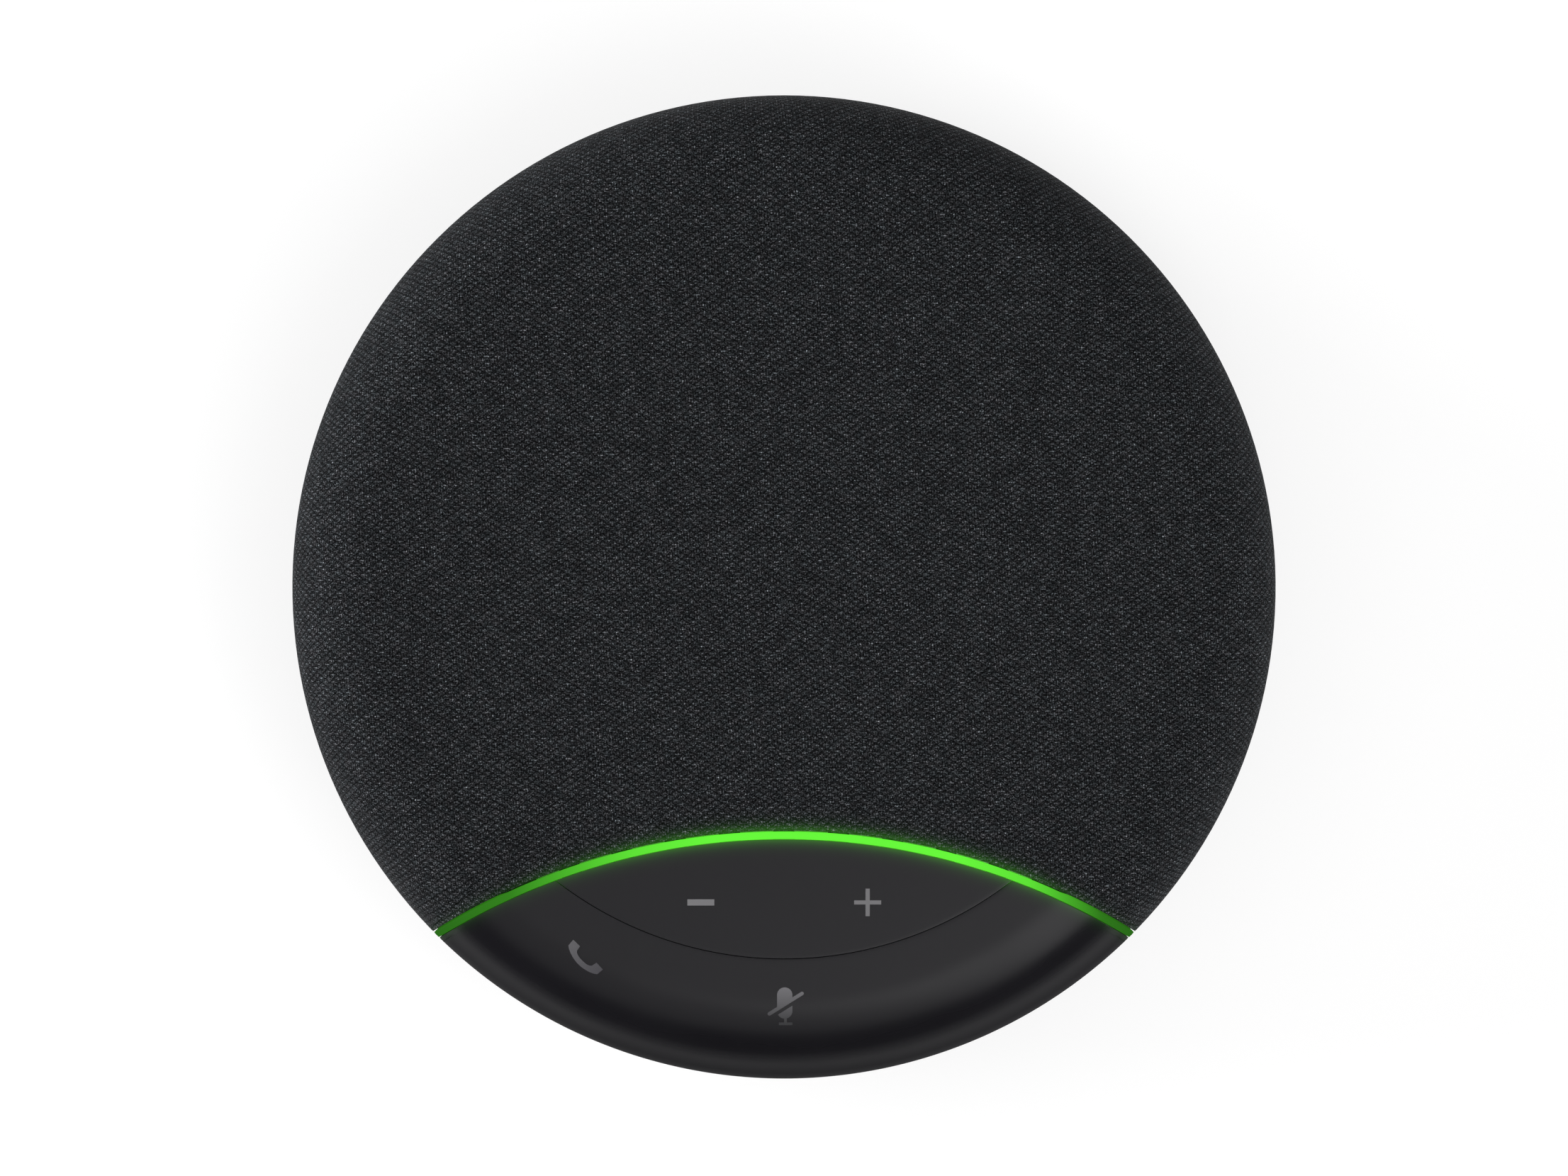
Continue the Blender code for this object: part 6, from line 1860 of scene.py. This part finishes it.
@dataclass
class SpeakerFlex:
    """Rubber edge and cloth web of the speaker, which give between the basket and the moving cone."""

    offset: float = 6.0 * MM
    steps: int = 96
    slack: float = 0.03 * MM
    rubber: float = 0.5 * MM
    rim: Pair = (15.92 * MM, 16.82 * MM)
    rim_level: float = 27.5 * MM
    roll: Pair = (16.9 * MM, 20.3 * MM)
    roll_level: float = 27.76 * MM
    roll_rise: float = 1.4 * MM
    roll_hem: float = 26.98 * MM
    roll_steps: int = 24
    hem_steps: int = 6
    flange: float = 21.1 * MM
    cloth: float = 0.4 * MM
    collar: Pair = (7.05 * MM, 8.6 * MM)
    collar_top: float = 21.1 * MM
    collar_hem: float = 19.6 * MM
    web: Pair = (8.8 * MM, 12.9 * MM)
    web_level: float = 20.8 * MM
    web_foot: float = 19.5 * MM
    web_steps: int = 32
    wave: float = 0.3 * MM
    wave_pitch: float = 2.73 * MM
    crest: float = 9.77 * MM

    def roll_section(self) -> list[Plan]:
        """Half section of the rubber roll.

        Returns:
            Closed line from the hem at the cone's rim to the basket's flange and back.
        """
        near, far = self.roll
        middle, half = (near + far) / 2, (far - near) / 2
        low, high = self.roll_level, self.roll_level + self.rubber
        hem = [(near, z) for z in spread(self.roll_hem, low, self.hem_steps)]
        over = bend((middle, high), (-half, self.roll_rise), 0.0, math.pi, self.roll_steps)
        under = bend((middle, low), (half - self.rubber, self.roll_rise), 0.0, math.pi, self.roll_steps)
        back = [(radius + self.rubber, z) for radius, z in reversed(hem[:-1])]
        return hem + over + [(self.flange, high), (self.flange, low)] + under + back

    def collar_section(self) -> list[Plan]:
        """Half section of the cloth collar on the coil, with its thin skirt.

        Returns:
            Closed line of (radius, height).
        """
        near, far = self.collar
        below = self.collar_top - self.cloth
        skirt = [(far, z) for z in spread(below, self.collar_hem, self.hem_steps)]
        back = [(far - self.cloth / 2, z) for _, z in reversed(skirt)]
        return [(near, self.collar_top), (far, self.collar_top)] + skirt + back + [(near, below)]

    def web_section(self) -> list[Plan]:
        """Half section of the waved web and its foot on the basket.

        Returns:
            Closed line of (radius, height).
        """
        near, far = self.web
        turn = 2 * math.pi / self.wave_pitch
        over = [(radius, self.web_level + self.wave * math.cos(turn * (radius - self.crest)))
                for radius in spread(near, far - self.cloth, self.web_steps)]
        foot = [(far, over[-1][1]), (far, self.web_foot), (far - self.cloth, self.web_foot)]
        return over + foot + [(radius, z - self.cloth) for radius, z in reversed(over)]

    def ring(self, name: str, section: Sequence[Plan], material: Material) -> Piece:
        """Turns a half section about the speaker's axis.

        Args:
            name: Name of the piece.
            section: Points of (radius, height).
            material: Its finish.

        Returns:
            The piece.
        """
        bm = turned(section, self.steps)
        bmesh.ops.translate(bm, vec=(0.0, self.offset, 0.0), verts=bm.verts)
        return stand(name, bm, material)

    def give(self, piece: Piece) -> None:
        """Bakes a piece's transform into its mesh and leaves it on no body.

        Args:
            piece: The piece.
        """
        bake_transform(piece)
        LOG.info("%s gives between basket and cone, %d faces", piece.name, len(piece.data.polygons))

    def build(self) -> None:
        """Models the roll, its lip, the collar and the web."""
        rubber = SoftRubber("surround_rubber", display(28, 28, 29)).build()
        roll = self.ring("surround_roll", self.roll_section(), rubber)
        self.give(roll)
        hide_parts("speaker_surround")
        low, high = self.rim_level, self.rim_level + self.rubber
        section = [(self.rim[0], low), (self.rim[1], low), (self.rim[1], high), (self.rim[0], high)]
        attach(self.ring("surround_lip", section, rubber), Body.CONE, "soft_rubber")
        cloth = Fibre("spider_cloth", display(186, 156, 92), size=0.35 * MM).build()
        collar = self.ring("spider_collar", self.collar_section(), cloth)
        self.give(collar)
        web = self.ring("spider_web", self.web_section(), cloth)
        attach(web, Body.BASE, "resin_cloth", "speaker_spider")


class InnerWorks:
    """Solids that keep their shape and get a finish by their slot."""

    def finishes(self) -> dict[str, Finish]:
        """One finish for each slot of the record whose solids still show.

        Returns:
            The finishes by slot.
        """
        return {
            "frame_plastic": MouldedPlastic("frame_plastic", display(26, 26, 27), roughness=0.6),
            "white_plastic": MouldedPlastic("white_plastic", display(222, 222, 218), roughness=0.5),
            "soft_rubber": SoftRubber("soft_rubber", display(28, 28, 29)),
            "gasket_foam": Fibre("gasket_foam", display(38, 38, 38), size=0.6 * MM, relief=0.2 * MM),
            "circuit_board": CircuitBoard(),
            "switch_plastic": MouldedPlastic("switch_plastic", display(56, 56, 58), roughness=0.5),
            "battery_wrap": MouldedPlastic("battery_wrap", display(150, 152, 156), roughness=0.35, gloss=0.5,
                                           grain=400.0, relief=0.03 * MM),
            "tinned_shell": PlatedMetal("shield_tin", display(190, 190, 188), roughness=0.3,
                                        streak=(30.0, 1.0, 1.0)),
            "zinc_steel": PlatedMetal("zinc_steel", display(170, 170, 172), roughness=0.34),
            "black_steel": PlatedMetal("black_steel", display(40, 40, 42), roughness=0.5,
                                       streak=(1.0, 1.0, 8.0), metal=0.6),
            "sintered_magnet": PlatedMetal("sintered_magnet", display(112, 114, 118), roughness=0.36,
                                           streak=(3.0, 3.0, 3.0)),
            "copper_winding": Winding(),
            "cone_paper": Fibre("cone_paper", display(30, 29, 29), size=0.7 * MM),
            "lead_sheath": SoftRubber("lead_sheath", display(150, 30, 28)),
            "flat_ribbon": MouldedPlastic("flat_ribbon", display(205, 205, 200), roughness=0.42),
        }

    def build(self) -> None:
        """Dresses every solid that still shows."""
        made: dict[str, Material] = {}
        finishes = self.finishes()
        for row in frame["record"]["subparts"]:
            solid = frame["nodes"][row["node"]]
            slot = row["material_slot"]
            if solid.hide_render or slot not in finishes:
                continue
            if slot not in made:
                made[slot] = finishes[slot].build()
            solid.data.materials.clear()
            solid.data.materials.append(made[slot])
            LOG.info("%s keeps its solid, in %s", row["node"], slot)


# Floor, light and camera


@dataclass(frozen=True)
class Softbox:
    """One rectangular lamp that faces the part."""

    name: str
    place: Place
    size: Pair
    power: float

    def build(self) -> None:
        """Sets up the lamp."""
        lamp = bpy.data.lights.new(self.name, 'AREA')
        lamp.shape = 'RECTANGLE'
        lamp.size, lamp.size_y = self.size
        lamp.energy = self.power
        made = bpy.data.objects.new(self.name, lamp)
        made.location = self.place
        made.rotation_euler = Vector(self.place).to_track_quat('Z', 'Y').to_euler()
        made.visible_camera = False
        bpy.context.scene.collection.objects.link(made)


@dataclass
class Studio:
    """Pale floor, soft light and the straight overhead camera.

    The outline's radius and the camera's rise are in pixels of the image.
    """

    lens: float = 1000.0
    sensor: float = 36.0
    clip: Pair = (0.1, 40.0)
    image_width: float = 2212.0
    outline: float = 693.6
    rise: float = 1.5
    ambient: float = 0.06
    floor_half: float = 4.0
    floor_paint: Pair = (0.91, 0.93)
    floor_scale: float = 3.0
    floor_rough: float = 0.9
    shadow: float = 0.3
    white: float = 1.03
    clear: float = 0.2 * MM
    # The floor's emission is a painted pool of light: full within these reaches of the part, down to distant
    # beyond them
    pool_aside: Pair = (0.1, 0.22)
    pool_ahead: Pair = (0.075, 0.165)
    distant: float = 0.25
    lamps: tuple[Softbox, ...] = (Softbox("overhead", (0.0, -0.15, 1.0), (1.5, 1.9), 8.5),
                                  Softbox("right_front", (0.405, -0.365, 0.837), (0.5, 0.9), 4.15),
                                  Softbox("left", (-1.26, 0.3, 0.32), (1.0, 0.5), 25.0),
                                  Softbox("right", (1.2, -0.1, 0.12), (0.8, 0.2), 7.0))

    def build(self) -> None:
        """Sets up the floor, the lamps, the world and the camera."""
        self.floor()
        for lamp in self.lamps:
            lamp.build()
        world = bpy.data.worlds.new("studio")
        world.use_nodes = True
        world.node_tree.nodes["Background"].inputs["Color"].default_value = WHITE
        world.node_tree.nodes["Background"].inputs["Strength"].default_value = self.ambient
        bpy.context.scene.world = world
        self.camera()
        bpy.context.scene.view_settings.view_transform = 'Standard'

    def floor(self) -> None:
        """Lays the floor under the foot ring, open from below; a painted pool of light makes it white near
        the part and greyer away.
        """
        bm = bmesh.new()
        bmesh.ops.create_grid(bm, x_segments=4, y_segments=4, size=self.floor_half)
        bmesh.ops.translate(bm, vec=(0.0, 0.0, -self.clear), verts=bm.verts)
        recipe = Recipe("pale_floor")
        place = recipe.here()
        shares = []
        for index, reach in enumerate((self.pool_aside, self.pool_ahead)):
            share = recipe.fit(recipe.maths('ABSOLUTE', recipe.axis(place, index)), *reach, 1.0, 0.0)
            share.node.interpolation_type = 'SMOOTHSTEP'
            shares.append(share)
        # Painted pool of light: emission full near the part, distant far from it
        painted_pool = recipe.fit(recipe.maths('MULTIPLY', *shares), 0.0, 1.0, self.distant, 1.0)
        rays = recipe.add("LightPath").outputs
        seen = recipe.maths('MAXIMUM', rays["Is Camera Ray"], rays["Is Glossy Ray"])
        seen = recipe.maths('MAXIMUM', seen, rays["Is Transmission Ray"])
        paint = recipe.mix(recipe.noise(place, self.floor_scale),
                           *(grey(value) for value in self.floor_paint))
        glow = recipe.mix(recipe.maths('MULTIPLY', seen, painted_pool), DARK, WHITE)
        recipe.surface(Base_Color=recipe.mix(seen, paint, grey(self.shadow)), Roughness=self.floor_rough,
                       Specular_IOR_Level=0.0, Emission_Color=glow,
                       Emission_Strength=self.white - self.shadow)
        below = recipe.add("NewGeometry").outputs["Backfacing"]
        clear = recipe.add("BsdfTransparent").outputs[0]
        either = recipe.fill(recipe.add("MixShader"), below, recipe.shader.outputs[0], clear)
        recipe.fill(recipe.tree.nodes["Material Output"], Surface=either.outputs[0])
        stand("floor", bm, recipe.material)

    def camera(self) -> None:
        """Hangs the camera straight over the part, as far as its outline needs."""
        data = bpy.data.cameras.new("overhead_camera")
        data.lens = self.lens
        data.sensor_width = self.sensor
        data.clip_start, data.clip_end = self.clip
        pixels = self.lens / self.sensor * self.image_width
        away = SKIN.radius * pixels / self.outline
        made = bpy.data.objects.new("overhead_camera", data)
        made.location = (0.0, -self.rise * away / pixels, away + SKIN.centre)
        bpy.context.scene.collection.objects.link(made)
        bpy.context.scene.camera = made


def main() -> None:
    """Builds the studio, then the pieces in order."""
    logging.basicConfig(level=logging.INFO, format="%(name)s: %(message)s")
    Studio().build()
    panel = SatinPanel().build()
    WovenCover().build()
    LightGuide().build()
    VolumeRocker().build(panel)
    FrontKey().build(panel)
    Signs().build()
    case = BottomCase()
    case.build()
    side_key = MouldedPlastic("side_key_plastic", display(40, 40, 42), roughness=0.48).build()
    case.build_key("power_button", Body.POWER, 1, side_key)
    case.build_key("pairing_button", Body.PAIRING, -1, side_key)
    FootRing().build()
    UsbSocket().build()
    SpeakerFlex().build()
    InnerWorks().build()


if __name__ == "__main__":
    main()
